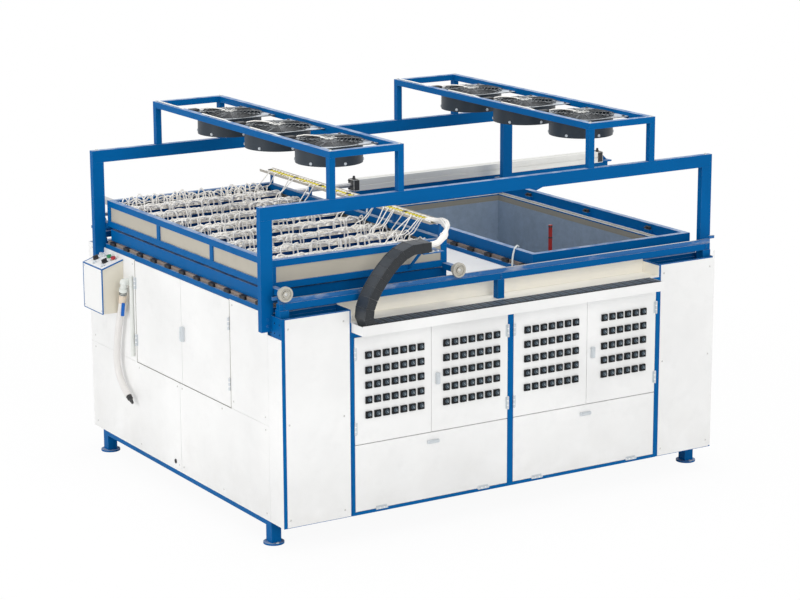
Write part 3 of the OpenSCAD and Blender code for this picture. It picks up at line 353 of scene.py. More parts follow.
class Finish(Nodes):
    """A material of one surface kind, built node by node round a Principled shader."""

    def __init__(self, name, **constants):
        self.material = bpy.data.materials.new(name)
        self.material.use_nodes = True
        super().__init__(self.material.node_tree)
        self.shader = self.tree.nodes["Principled BSDF"]
        self.where = self.node("ShaderNodeTexCoord", {}, out="Object")
        for key, value in constants.items():
            self.shader.inputs[key.replace("_", " ")].default_value = value

    def noise(self, scale, detail=3.0, rough=0.5, where=None):
        return self.node("ShaderNodeTexNoise", {}, Vector=where or self.where, Scale=scale, Detail=detail,
                         Roughness=rough)

    def stretched(self, x, y, z):
        return self.node("ShaderNodeMapping", {}, self.where, Scale=(x, y, z))

    def ramp(self, field, low, high):
        return self.node("ShaderNodeMapRange", {"clamp": True}, field, low, high, 0.0, 1.0)

    def tint(self, amount, a, b):
        """Colour a where amount is 0, b where it is 1."""
        mix = self.tree.nodes.new("ShaderNodeMix")
        mix.data_type = "RGBA"
        self.tree.links.new(amount.socket, mix.inputs[0])
        for socket, value in ((mix.inputs[6], a), (mix.inputs[7], b)):
            if isinstance(value, Field):
                self.tree.links.new(value.socket, socket)
            else:
                socket.default_value = (*value[:3], 1)
        return Field(self, mix.outputs[2])

    def edges(self, radius):
        """1 on edges and corners, 0 on flats."""
        soft = self.node("ShaderNodeBevel", {"samples": 4}, radius)
        hard = self.node("ShaderNodeNewGeometry", {}, out="Normal")
        same = self.node("ShaderNodeVectorMath", {"operation": "DOT_PRODUCT"}, soft, hard, out="Value")
        return self.ramp(1.0 - same, 0.01, 0.25)

    def along(self, axis):
        """The place along an axis of the model, in metres."""
        return self.node("ShaderNodeSeparateXYZ", {}, self.where, out=axis)

    def facing(self, axis):
        """1 on faces that face along an axis, -1 on faces that face against it."""
        normal = self.node("ShaderNodeNewGeometry", {}, out="Normal")
        return self.node("ShaderNodeSeparateXYZ", {}, normal, out=axis)

    def dusty(self, tone, amount):
        """A tone with dust on the lowest part of the machine."""
        low = self.ramp(self.along("Z"), 0.42, 0.1) * self.ramp(self.noise(5.0, 5), 0.35, 0.7) * amount
        return self.tint(low, tone, DUST)

    def coat(self, colour):
        """Uneven paint: its cloudy noise, its grime and its tone."""
        cloud = self.noise(2.3, 4)
        grime = self.ramp(self.noise(9.0, 6, 0.62), 0.52, 0.8)
        return cloud, grime, self.tint(self.ramp(cloud, 0.3, 0.7), shade(colour, 0.93), shade(colour, 1.05))

    def orange_peel(self):
        self.bump(self.noise(190.0, 2) * 0.35 + self.noise(4.0, 2), 0.12, 0.0012)

    def set(self, **fields):
        for key, field in fields.items():
            self.tree.links.new(field.socket, self.shader.inputs[key.replace("_", " ")])

    def bump(self, height, strength, distance):
        self.set(Normal=self.node("ShaderNodeBump", {}, Strength=strength, Distance=distance, Height=height))


def shade(colour, k):
    """A colour k times as bright."""
    return tuple(min(1.0, max(0.0, c * k)) for c in colour[:3])


def linear(r, g, b):
    """A display colour, 0 to 255, as the shader's linear colour."""
    return tuple(((c / 255 + 0.055) / 1.055) ** 2.4 if c > 10 else c / 255 / 12.92 for c in (r, g, b))


def enamel(name, colour, wear=0.5, rough=0.32, dust=0.0, gloss=0.4, top=0.0):
    """Gloss or satin paint: uneven tone, orange peel, rubbed edges, dust low down, and a painted highlight
    that lightens upward faces.
    """
    f = Finish(name, Specular_IOR_Level=gloss)
    cloud, grime, tone = f.coat(colour)
    rub = f.edges(0.0022) * f.ramp(f.noise(26.0, 4, 0.6), 0.38, 0.62)
    tone = f.tint(grime * 0.22, tone, shade(colour, 0.72))
    if dust:
        tone = f.dusty(tone, dust)
    # Painted highlight: upward faces are tinted pale blue-white in patches, as strong as top, standing in for
    # light from above.
    if top:
        painted_top_sheen = f.ramp(f.facing("Z"), 0.75, 0.95) * f.ramp(f.noise(16.0, 5, 0.6), 0.25, 0.6) * top
        tone = f.tint(painted_top_sheen, tone, (0.72, 0.76, 0.8))
    worn = [c * 0.55 + 0.32 for c in colour]
    f.set(Base_Color=f.tint(rub * wear, tone, worn), Roughness=rough + 0.18 * grime + 0.1 * cloud + 0.1 * rub)
    f.orange_peel()
    return f.material


def panel_coat(name, colour, cream):
    """The panels' powder coat, painted a lighter, creamier tone inside the recess above the switch doors,
    standing in for the warm light in that shaded recess.
    """
    f = Finish(name, Specular_IOR_Level=0.4)
    cloud, grime, tone = f.coat(colour)
    # Painted light: within the recess's box the coat turns to the lighter cream.
    inside = 1.0
    for axis, low, high in zip("XYZ", at(*RECESS_LOW), at(*RECESS_HIGH)):
        along = f.along(axis)
        inside = f.ramp(along, low, low + 0.001) * (1 - f.ramp(along, high, high + 0.001)) * inside
    tone = f.tint(inside, tone, f.tint(cloud, shade(cream, 0.97), cream))
    tone = f.dusty(f.tint(grime * 0.2, tone, shade(colour, 0.75)), 0.2)
    f.set(Base_Color=tone, Roughness=0.38 + 0.18 * grime + 0.1 * cloud)
    f.orange_peel()
    return f.material


def box_coat(name, colour, side):
    """Powder coat of the control box, with a darker, warmer copy of the coat painted as shade on the faces
    that point to -Y.
    """
    f = Finish(name, Specular_IOR_Level=0.3)
    patch = f.noise(6.0, 4)
    # Painted shade: faces that point to -Y take the darker, warmer side colour.
    f.set(Base_Color=f.tint(f.ramp(0.0 - f.facing("Y"), 0.6, 0.8), f.tint(patch, shade(colour, 0.97), colour),
                            f.tint(patch, shade(side, 0.94), side)), Roughness=0.4 + 0.1 * patch)
    f.bump(f.noise(190.0, 2), 0.05, 0.0008)
    return f.material


def tray_coat(name, pale, blue):
    """A pale tray on blue posts."""
    f = Finish(name, Specular_IOR_Level=0.2)
    patch = f.noise(9.0, 4)
    post_top = TRAY_FLOOR / 1000
    f.set(Base_Color=f.tint(f.ramp(f.along("Z"), post_top - 0.001, post_top), blue,
                            f.tint(patch, shade(pale, 0.9), pale)), Roughness=0.4 + 0.1 * patch)
    f.bump(f.noise(190.0, 2), 0.05, 0.0008)
    return f.material


def bare_metal(name, colour, rough=0.3, grain=(1.0, 1.0, 1.0), spangle=0.0, dirt=0.4, metallic=1.0):
    """Bare metal with drawn grain, faint stains and, on galvanised sheet, spangle."""
    f = Finish(name, Metallic=metallic)
    line = f.noise(140.0, 3, 0.7, f.stretched(*grain))
    stain = f.ramp(f.noise(7.0, 6, 0.65), 0.45, 0.85)
    tone = f.tint(line, shade(colour, 0.86), shade(colour, 1.1))
    rough_field = rough + 0.14 * line + 0.2 * stain
    if spangle:
        cell = f.node("ShaderNodeTexVoronoi", {}, Vector=f.where, Scale=55.0, out="Color")
        grey = f.node("ShaderNodeSeparateColor", {}, cell)
        tone = f.tint(grey * spangle, tone, shade(colour, 1.35))
        rough_field = rough_field + 0.12 * grey
    f.set(Base_Color=f.tint(stain * dirt, tone, shade(colour, 0.55)), Roughness=rough_field)
    f.bump(line, 0.08, 0.0004)
    return f.material


def worn_rail(name, paint, steel):
    """A painted flat bar whose upper edge the wheels have worn to bare steel."""
    f = Finish(name)
    line = f.noise(120.0, 3, 0.6, f.stretched(0.05, 1.0, 1.0))
    bare = f.ramp(f.facing("Z") + 0.25 * line, 0.45, 0.6)
    wiped = f.ramp(f.noise(14.0, 5, 0.65, f.stretched(0.3, 1.0, 1.0)), 0.56, 0.7) * 0.5
    tone = f.tint(line, shade(paint, 0.9), shade(paint, 1.1))
    shine = f.tint(line, shade(steel, 0.85), shade(steel, 1.12))
    f.set(Base_Color=f.tint(f.maths("MAXIMUM", bare, wiped), tone, shine),
          Metallic=bare * 0.85, Roughness=0.36 - 0.06 * bare + 0.12 * line)
    f.bump(line, 0.06, 0.0004)
    return f.material


def moulded(name, colour, rough=0.45, speck=0.25, scuff=0.35, coat=0.0, bump=0.15, gloss=0.5):
    """Moulded plastic or rubber: fine grain, scuffed edges and pale dust in patches."""
    f = Finish(name, Coat_Weight=coat, Specular_IOR_Level=gloss)
    grain = f.noise(420.0, 2)
    patch = f.ramp(f.noise(11.0, 5, 0.6), 0.45, 0.8)
    rub = f.edges(0.0015) * f.ramp(f.noise(60.0, 3), 0.35, 0.65)
    tone = f.tint(patch * speck, colour, [c * 0.7 + 0.12 for c in colour])
    f.set(Base_Color=f.tint(rub * scuff, tone, [c * 0.6 + 0.25 for c in colour]),
          Roughness=rough + 0.16 * patch + 0.08 * grain)
    f.bump(grain, bump, 0.0004)
    return f.material


def chain_plastic(name, colour):
    """Black plastic links: faces that do not point along Y are painted lighter as a painted highlight, in
    dusty patches, and the side plates keep a darker painted shade.
    """
    f = Finish(name)
    # Painted light: the tone follows the way each face points. It is darker on the side plates that face
    # along Y and lighter on the other faces.
    side = f.facing("Y")
    outer = f.ramp(f.maths("MAXIMUM", side, 0.0 - side), 0.75, 0.35)
    patch = f.ramp(f.noise(11.0, 5, 0.6), 0.3, 0.75)
    rub = f.edges(0.0018) * f.ramp(f.noise(60.0, 3), 0.3, 0.6)
    tone = f.tint(outer * (0.35 + 0.65 * patch), shade(colour, 0.7), [c * 1.5 + 0.035 for c in colour])
    f.set(Base_Color=f.tint(rub * 0.5, tone, [c * 0.6 + 0.25 for c in colour]), Roughness=0.34 + 0.2 * patch)
    f.bump(f.noise(420.0, 2), 0.15, 0.0004)
    return f.material


def pad_strip(name, pad, strip):
    """Black rubber pads on a drab carrier strip, at the pads' own pitch."""
    f = Finish(name)
    near = f.maths("PINGPONG", f.along("Y") - at(0, MID_Y, 0).y, PAD_PITCH / 2000)
    patch = f.ramp(f.noise(24.0, 5, 0.6), 0.35, 0.75)
    drab = f.tint(patch * 0.6, strip, shade(strip, 0.55))
    f.set(Base_Color=f.tint(f.ramp(near, 0.0262, 0.027), f.tint(patch * 0.3, pad, shade(pad, 2.2)), drab),
          Roughness=0.5 + 0.2 * patch)
    f.bump(f.noise(260.0, 2), 0.15, 0.0004)
    return f.material


def glazed(name, colour, heat):
    """Glazed ceramic, browned by heat in soft patches."""
    f = Finish(name, Coat_Weight=0.35, Coat_Roughness=0.15)
    scorch = f.ramp(f.noise(6.0, 4, 0.55), 0.42, 0.75)
    pit = f.noise(300.0, 2)
    f.set(Base_Color=f.tint(scorch * 0.5, colour, heat), Roughness=0.3 + 0.25 * scorch + 0.05 * pit)
    f.bump(pit, 0.1, 0.0004)
    return f.material


def clear_hose(name, colour):
    """Milky soft hose with a faint woven layer inside."""
    f = Finish(name, Coat_Weight=0.35, Coat_Roughness=0.2, Transmission_Weight=0.12, IOR=1.4)
    weave = f.node("ShaderNodeTexWave", {"wave_type": "BANDS", "bands_direction": "DIAGONAL"}, Vector=f.where,
                   Scale=90.0, Distortion=1.5, Detail=1.0, out="Fac")
    cloud = f.ramp(f.noise(18.0, 4), 0.35, 0.7)
    f.set(Base_Color=f.tint(weave * 0.15 + cloud * 0.15, colour, shade(colour, 0.8)),
          Roughness=0.3 + 0.15 * cloud)
    return f.material


FINISHES = {}


def finish_named(name):
    """Makes each finish once, from the colours in the panel."""
    if name not in FINISHES:
        c = bpy.context.scene.former_colours
        makers = {
            # In the blue and the dark duct paint, top sets the strength of a painted highlight on upward
            # faces.
            "blue": lambda: enamel("Blue enamel", c.blue, wear=0.3, rough=0.36, gloss=0.05, top=0.45),
            "white": lambda: enamel("White powder coat", c.white, wear=0.0, rough=0.38, dust=0.2),
            "panels": lambda: panel_coat("Body panel coat", c.white, linear(252, 247, 234)),
            # The control box's second colour is a painted shade for its faces that point to -Y.
            "box": lambda: box_coat("Control box coat", c.white, linear(228, 222, 206)),
            "legs": lambda: tray_coat("Terminal tray coat", linear(196, 190, 178), c.blue),
            "duct": lambda: enamel("Dark duct paint", linear(34, 47, 58), wear=0.5, rough=0.36, top=0.9),
            "oven_panel": lambda: enamel("Warm grey oven panel", c.oven_panel, wear=0.2, rough=0.4),
            "tray": lambda: enamel("Oven tray blue", linear(4, 62, 122), wear=0.2, rough=0.45, gloss=0.12),
            "tank": lambda: enamel("Tank grey", linear(96, 106, 116), wear=0.3, rough=0.42),
            "red": lambda: enamel("Red gauge paint", linear(168, 44, 40), wear=0.3),
            "steel": lambda: bare_metal("Machined steel", (0.55, 0.55, 0.56), 0.28, (0.05, 1.0, 1.0)),
            "zinc": lambda: bare_metal("Zinc plate", (0.62, 0.62, 0.6), 0.32),
            "guard": lambda: bare_metal("Guard wire", (0.13, 0.135, 0.14), 0.3),
            "rail": lambda: worn_rail("Wheel rail", c.blue, (0.58, 0.57, 0.56)),
            "cover": lambda: enamel("Channel cover cream", linear(250, 246, 238), wear=0.2, rough=0.4),
            "galvanised": lambda: bare_metal("Galvanised sheet", (0.34, 0.42, 0.52), 0.42, spangle=0.35,
                                             metallic=0.6),
            "aluminium": lambda: bare_metal("Anodised aluminium", (0.8, 0.8, 0.77), 0.4, (0.04, 1.0, 1.0),
                                            dirt=0.2, metallic=0.75),
            "table": lambda: bare_metal("Milled table plate", (0.5, 0.51, 0.53), 0.38, (0.06, 1.0, 1.0)),
            "pads": lambda: pad_strip("Pads and carrier strip", linear(20, 17, 19), linear(140, 124, 112)),
            "black": lambda: moulded("Satin black plastic", linear(34, 34, 36), 0.42),
            "switch": lambda: moulded("Satin switch black", linear(12, 14, 18), 0.4, 0.03, 0.1, bump=0.05,
                                      gloss=0.2),
            "knob": lambda: moulded("Grey switch knob", linear(70, 84, 94), 0.35, 0.1, 0.15, bump=0.05,
                                    gloss=0.3),
            "chain": lambda: chain_plastic("Drag chain plastic", c.chain),
            # Painted highlight: the rungs are a much lighter copy of the chain's plastic, standing in for
            # light on their tops.
            "rung": lambda: moulded("Chain rung plastic", linear(92, 106, 118), 0.36, 0.3, 0.5),
            "mark": lambda: moulded("Switch pointer grey", linear(150, 158, 164), 0.4, 0.1, 0.1),
            "rubber": lambda: moulded("Seal rubber", linear(146, 143, 132), 0.7, 0.3, 0.3),
            "wire": lambda: moulded("White glass sleeve", c.wire, 0.55, 0.2, 0.1),
            "yellow": lambda: moulded("Yellow terminal plastic", linear(222, 206, 40), 0.4, 0.1, 0.1,
                                      gloss=0.2),
            "wheel": lambda: moulded("Wheel rim grey", linear(184, 180, 168), 0.42, 0.4, 0.5),
            "ceramic": lambda: glazed("Element ceramic", linear(232, 226, 212), linear(150, 118, 84)),
            "bead": lambda: glazed("Terminal ceramic", linear(249, 245, 238), linear(222, 208, 188)),
            "fitting": lambda: moulded("Pale fitting plastic", linear(224, 227, 222), 0.4, 0.2, 0.2),
            "sleeve": lambda: moulded("Tan hose barb", linear(222, 206, 186), 0.5, 0.3, 0.2),
            "clip": lambda: moulded("Pale latch plastic", linear(206, 212, 216), 0.35, 0.2, 0.2),
            "blue_grip": lambda: moulded("Blue grip plastic", linear(10, 96, 184), 0.4, gloss=0.2),
            "green_button": lambda: moulded("Green button", linear(40, 150, 84), 0.25, coat=0.5),
            "red_button": lambda: moulded("Red button", linear(190, 40, 40), 0.25, coat=0.5),
            "hose": lambda: clear_hose("Clear hose", linear(240, 237, 234)),
        }
        FINISHES[name] = makers[name]()
    return FINISHES[name]


SIDES, ROWS = ("left", "right"), ("front", "middle", "rear")
NODE_FINISH = {
    "blue": ("feet", "base_frame", "column_boxes", "rail_beams", "gantry_frames", "fan_frames",
             "station_frames", "left_clamp_frame", "right_clamp_frame", "oven_frame", "cylinder_beam"),
    "panels": ("body_panels",),
    "white": ("cable_trough", "side_door_front", "side_door_rear", "lower_door_left", "lower_door_right",
              *(f"switch_door_{i}" for i in range(1, 5))),
    "box": ("control_box",),
    "legs": ("terminal_tray",),
    "duct": ("fan_ducts",),
    "rail": ("wheel_rails",),
    "steel": ("table_cylinders", "piston_rod"),
    "galvanised": ("chambers",),
    "rubber": ("seals",),
    "pads": ("stop_blocks",),
    "black": ("selector_left", "selector_right", "hose_nozzle",
              *(f"fan_rotor_{side}_{row}" for side, row in product(SIDES, ROWS))),
    "table": ("left_mould_table", "right_mould_table"),
    "red": ("gauge_posts",),
    "oven_panel": ("oven_side_panels",),
    "tray": ("oven_tray",),
    "ceramic": ("ceramic_elements",),
    "wheel": ("wheels_left", "wheels_right"),
    "chain": ("chain_loop", "chain_upper_run"),
    "aluminium": ("drive_cylinder",),
    "switch": tuple(f"switches_{i}" for i in range(1, 5)),
    "green_button": ("start_button",),
    "red_button": ("stop_button",),
    "fitting": ("hose_fitting",),
    "hose": ("air_hose",),
    "tank": ("vacuum_pump", "vacuum_tank"),
}


# ---- Settings ---------------------------------------------------------------------------------

def colour_setting(name, about, value):
    return bpy.props.FloatVectorProperty(name=name, description=about, subtype="COLOR", size=3, min=0, max=1,
                                         default=value)


def number_setting(name, about, value, low, high):
    return bpy.props.FloatProperty(name=name, description=about, default=value, min=low, max=high)


class FormerColours(bpy.types.PropertyGroup):
    """Colours of the machine's main finishes."""
    blue: colour_setting("Frame blue", "Enamel of the frames, beams and gantries", linear(0, 95, 160))
    white: colour_setting("Panel white", "Powder coat of the sheet-metal panels", linear(243, 243, 242))
    oven_panel: colour_setting("Oven panel", "Warm grey side panels of the oven", linear(186, 180, 166))
    chain: colour_setting("Drag chain", "Plastic of the drag chain", linear(24, 32, 39))
    wire: colour_setting("Wire sleeve", "Glass-fibre sleeve of the oven's wires", linear(250, 247, 241))


class FormerWiring(bpy.types.PropertyGroup):
    """Sizes of the oven's wiring."""
    lead_radius: number_setting("Lead radius", "Radius of an element's lead, in mm", 3.3, 1.5, 8.0)
    loop_height: number_setting("Loop height", "Height of a lead's loop, in mm", 21.0, 10.0, 60.0)
    seed: bpy.props.IntProperty(name="Lie of the wires", default=7, min=0,
                                description="Another number lays the wires another way")


class FormerFans(bpy.types.PropertyGroup):
    """Sizes of the fan guards."""
    guard_rings: bpy.props.IntProperty(name="Guard rings", default=8, min=3, max=14,
                                       description="Rings of wire in a fan guard")
    wire_radius: number_setting("Guard wire radius", "Radius of the guard's wire, in mm", 1.5, 0.8, 3.0)


class FormerStage(bpy.types.PropertyGroup):
    """Light and floor."""
    key_power: number_setting("Key light", "Power of the key light, in watts", 258.0, 0.0, 2000.0)
    sky: number_setting("Sky light", "Strength of the even light all round", 0.6, 0.0, 2.0)
    floor: colour_setting("Floor", "Colour of the floor", (0.9, 0.9, 0.9))


# ---- Pieces -----------------------------------------------------------------------------------

class FORMER_OT_finishes(bpy.types.Operator):
    """Gives every CAD piece its finish"""
    bl_idname = "former.finishes"
    bl_label = "Finish the frame pieces"

    def execute(self, context):
        for name, nodes in NODE_FINISH.items():
            for node in nodes:
                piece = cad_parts[node]
                piece.data.materials.clear()
                piece.data.materials.append(finish_named(name))
        return {"FINISHED"}


class FORMER_OT_switches(bpy.types.Operator):
    """Puts a bezel, knob and pointer on every switch module"""
    bl_idname = "former.switches"
    bl_label = "Switch modules"
    KNOB = ((10.5, 0), (10.5, 1.2), (8.6, 2.0), (8.2, 7.0), (7.0, 8.0), (3.0, 8.2))

    def execute(self, context):
        turn = Matrix.Rotation(math.radians(-38), 3, "Y")
        for door in range(4):
            bezel, knob, mark = shapes(3)
            for c in range(SWITCH_COLUMNS[door]):
                for r in range(SWITCH_ROWS):
                    x = SWITCH_X[door] + c * SWITCH_DX
                    z = SWITCH_TOP - r * SWITCH_DZ
                    inner, outer = SWITCH_HALF - BEZEL_W, SWITCH_HALF
                    for low, high in (((-outer, -outer), (outer, -inner)), ((-outer, inner), (outer, outer)),
                                      ((-outer, -inner), (-inner, inner)), ((inner, -inner), (outer, inner))):
                        bezel.block((x + low[0], SWITCH_FACE - 2.1, z + low[1]),
                                    (x + high[0], SWITCH_FACE, z + high[1]), 0.7)
                    knob.lathe((x + 1.5, SWITCH_FACE, z + 1.5), (0, -1, 0), self.KNOB, 20)
                    mark.block((x + 0.3, -16.6, z - 4.5), (x + 2.7, -15.6, z + 7.5), 0.3, turn,
                               (x + 1.5, -16, z + 1.5))
            body = f"door_{door + 1}"
            bezel.piece(f"switch_bezels_{door + 1}", "switch", body, "switch_black")
            knob.piece(f"switch_knobs_{door + 1}", "knob", body, "switch_black")
            mark.piece(f"switch_marks_{door + 1}", "mark", body, "switch_black")
        return {"FINISHED"}


class FORMER_OT_door_fittings(bpy.types.Operator):
    """Adds hinges and latches to the doors, and a seal round the side doors"""
    bl_idname = "former.door_fittings"
    bl_label = "Door fittings"
    KNUCKLE = ((4.4, 0.4), (5.3, 1.2), (5.3, 16.8), (4.4, 17.6))
    LOCK = ((4.2, 0), (4.2, 1.6), (3.2, 2.2))
    LOWER_HINGE_IN, SIDE_HINGES_Z = 105.0, (636.0, 920.0)

    def hinge(self, s, start, along, leaf, out, screws=(14, 46)):
        """A hinge's leaf, its three knuckles and its screws, from start along its pin."""
        start, along, leaf, out = map(Vector, (start, along, leaf, out))
        ends = start + along * 2 + out * 0.2, start + along * (HINGE_L - 2) + leaf * 12 + out * 1.6
        s.block(*zip(*map(sorted, zip(*ends))), 0.5)
        for k in range(3):
            s.lathe(start + out * HINGE_OUT + along * HINGE_STEP * k, along, self.KNUCKLE, 18)
        for d in screws:
            s.screw(start + along * d + leaf * 8.5 + out * 1.6, out, 2.4)

    def switch_door(self, i, x0, x1):
        """Hinges on a switch door's outer edge; every second door has the latch."""
        s, hinge = Shape(), DOOR_HINGES[i]
        side = 1 if hinge == x0 else -1
        for z in (DOOR_Z[0] + HINGE_IN, DOOR_Z[1] - HINGE_IN - HINGE_L):
            self.hinge(s, (hinge, 0, z), (0, 0, 1), (side, 0, 0), (0, -1, 0))
        if i in LATCHED_DOORS:
            x = x0 + 30
            s.block((x - 10, -16, 663), (x + 10, -0.3, 716), 2.4)
            s.block((x - 6.5, -19, 669), (x + 6.5, -15.5, 702), 1.4)
            s.lathe((x, -15.6, 709), (0, -1, 0), self.LOCK, 18)
        s.piece(f"door_fittings_{i + 1}", "clip", f"door_{i + 1}", "white_paint")

    def lower_door(self, side, x0, x1):
        """Hinges along a lower door's bottom edge and a latch in its middle."""
        s, z = Shape(), LOWER_Z[0]
        for x in (x0 + self.LOWER_HINGE_IN, x1 - self.LOWER_HINGE_IN - HINGE_L):
            self.hinge(s, (x, 0, z), (1, 0, 0), (0, 0, 1), (0, -1, 0))
        x = (x0 + x1) / 2
        s.block((x - 31, -13.5, 387), (x + 31, -0.3, 403), 2.4)
        s.block((x - 24, -16.5, 390.5), (x + 10, -13, 399.5), 1.4)
        s.lathe((x + 20, -13, 395), (0, -1, 0), self.LOCK, 18)
        s.piece(f"lower_door_fittings_{side}", "clip", f"lower_{side}", "white_paint")

    def side_door(self, name, hinge, inner):
        """Hinges on a side door's outer edge; the front one has the latch."""
        s = Shape()
        for z in self.SIDE_HINGES_Z:
            self.hinge(s, (0, hinge, z), (0, 0, 1), (0, inner, 0), (-1, 0, 0), ())
        if name == "front":
            s.block((-18.5, 937, 768), (-0.3, 960, 838), 2.6)
            s.block((-22, 941, 778), (-17.5, 956, 816), 1.6)
            s.lathe((-18.2, 948.5, 827), (-1, 0, 0), ((5, 0), (5, 1.8), (3.6, 2.6)), 18)
        s.piece(f"side_door_fittings_{name}", "clip", f"side_door_{name}", "white_paint")

    def execute(self, context):
        for i, (x0, x1) in enumerate(DOORS):
            self.switch_door(i, x0, x1)
        for side, (x0, x1) in zip(SIDES, LOWER_DOORS):
            self.lower_door(side, x0, x1)
        self.side_door("front", 488.0, 1)
        self.side_door("rear", 1458.0, -1)
        seal = Shape()
        y0, y1, z0, z1 = 484.6, 1461.4, 552.6, 1062.0
        for y in (y0, y1):
            seal.block((-0.5, y - 1.6, z0), (0.6, y + 1.6, z1), 0.2)
        seal.block((-0.5, y0, z0 - 1.2), (0.6, y1, z0 + 1.2), 0.2)
        seal.piece("side_door_seal", "rubber", "body", "seal_rubber")
        return {"FINISHED"}


class FORMER_OT_screws(bpy.types.Operator):
    """Fixes the sheet-metal panels with screws and the frames with bolts"""
    bl_idname = "former.screws"
    bl_label = "Screws and bolts"
    # Places along X, Y and Z, the way out of the sheet, and the head's radius
    PANEL_SCREWS = (
        ((32.0, 311.0, 2091.0, 2369.0), (0,), (146.0, 585.0, 1020.0), (0, -1, 0), 4.6),
        ((0,), (160.0, 575.0, 980.0, 1028.0, 1440.0, 1940.0), (142.0, 530.0), (-1, 0, 0), 4.6),
        ((0,), (160.0, 460.0, 1486.0, 1940.0), (590.0, 1040.0), (-1, 0, 0), 4.6),
        ((2400,), (160.0, 575.0, 980.0, 1028.0, 1440.0, 1770.0, 1870.0, 1960.0), (142.0, 600.0, 1040.0),
         (1, 0, 0), 4.6),
        ((40.0, 600.0, 1170.0, 1230.0, 1800.0, 2360.0), (1987,), (142.0, 600.0, 1040.0), (0, 1, 0), 4.6),
        ((1000.0, 1400.0), (180.0, 580.0, 968.0, 1360.0, 1760.0), (1066.3,), (0, 0, 1), 4.2),
    )
    POST_X, BEAM_Y = (-16.0, 2416.0), (113.0, 1823.0)

    def execute(self, context):
        s = Shape()
        for xs, ys, zs, out, r in self.PANEL_SCREWS:
            for place in product(xs, ys, zs):
                s.screw(place, out, r)
        s.piece("panel_screws", "zinc", "body", "steel")
        edge = Shape()
        edge.block((2388.2, 0.3, 115.0), (2399.7, 1.6, 1098.0), 0.4)
        edge.piece("column_cover_edge", "white", "body", "white_paint")
        # The grommet's middle is closed by a black disc that stands in for the shade inside the cable hole.
        # Its black rim is the grommet's own colour.
        grommet = Shape()
        grommet.lathe((0, 1066, 151), (-1, 0, 0), ((11, 0), (11, 2.5), (8, 3.6), (6, 1.0), (1, 0.6)), 28)
        grommet.piece("cable_grommet", "black", "body", "fan_black")
        b, painted = shapes(2)
        for y, out in ((98.0, -1), (1838.0, 1)):
            for x, z in product(self.POST_X, (1020.0, 1048.0)):
                painted.hex_bolt((x, y, z), (0, out, 0), 5.0)
        for x, y in product(self.POST_X, self.BEAM_Y):
            b.hex_bolt((x, y, 1550), (0, 0, 1), 6.0)
        for x, dx, y in product(FAN_X, (-177.5, 177.5), self.BEAM_Y):
            b.hex_bolt((x + dx, y, 1764), (0, 0, 1), 5.5)
        for x, y in product((28.2, 2371.8), (116.8, 1899.8)):
            b.ring((x, y, 8.4), (0, 0, 1), 8.0, 1.6, 24, 8)
        for x, z in product((30.0, 1171.0, 2370.0), (1106.0, 1120.0)):
            painted.hex_bolt((x, 30, z), (0, -1, 0), 4.0)
        b.piece("frame_bolts", "zinc", "body", "steel")
        painted.piece("painted_bolts", "blue", "body", "blue_paint")
        return {"FINISHED"}


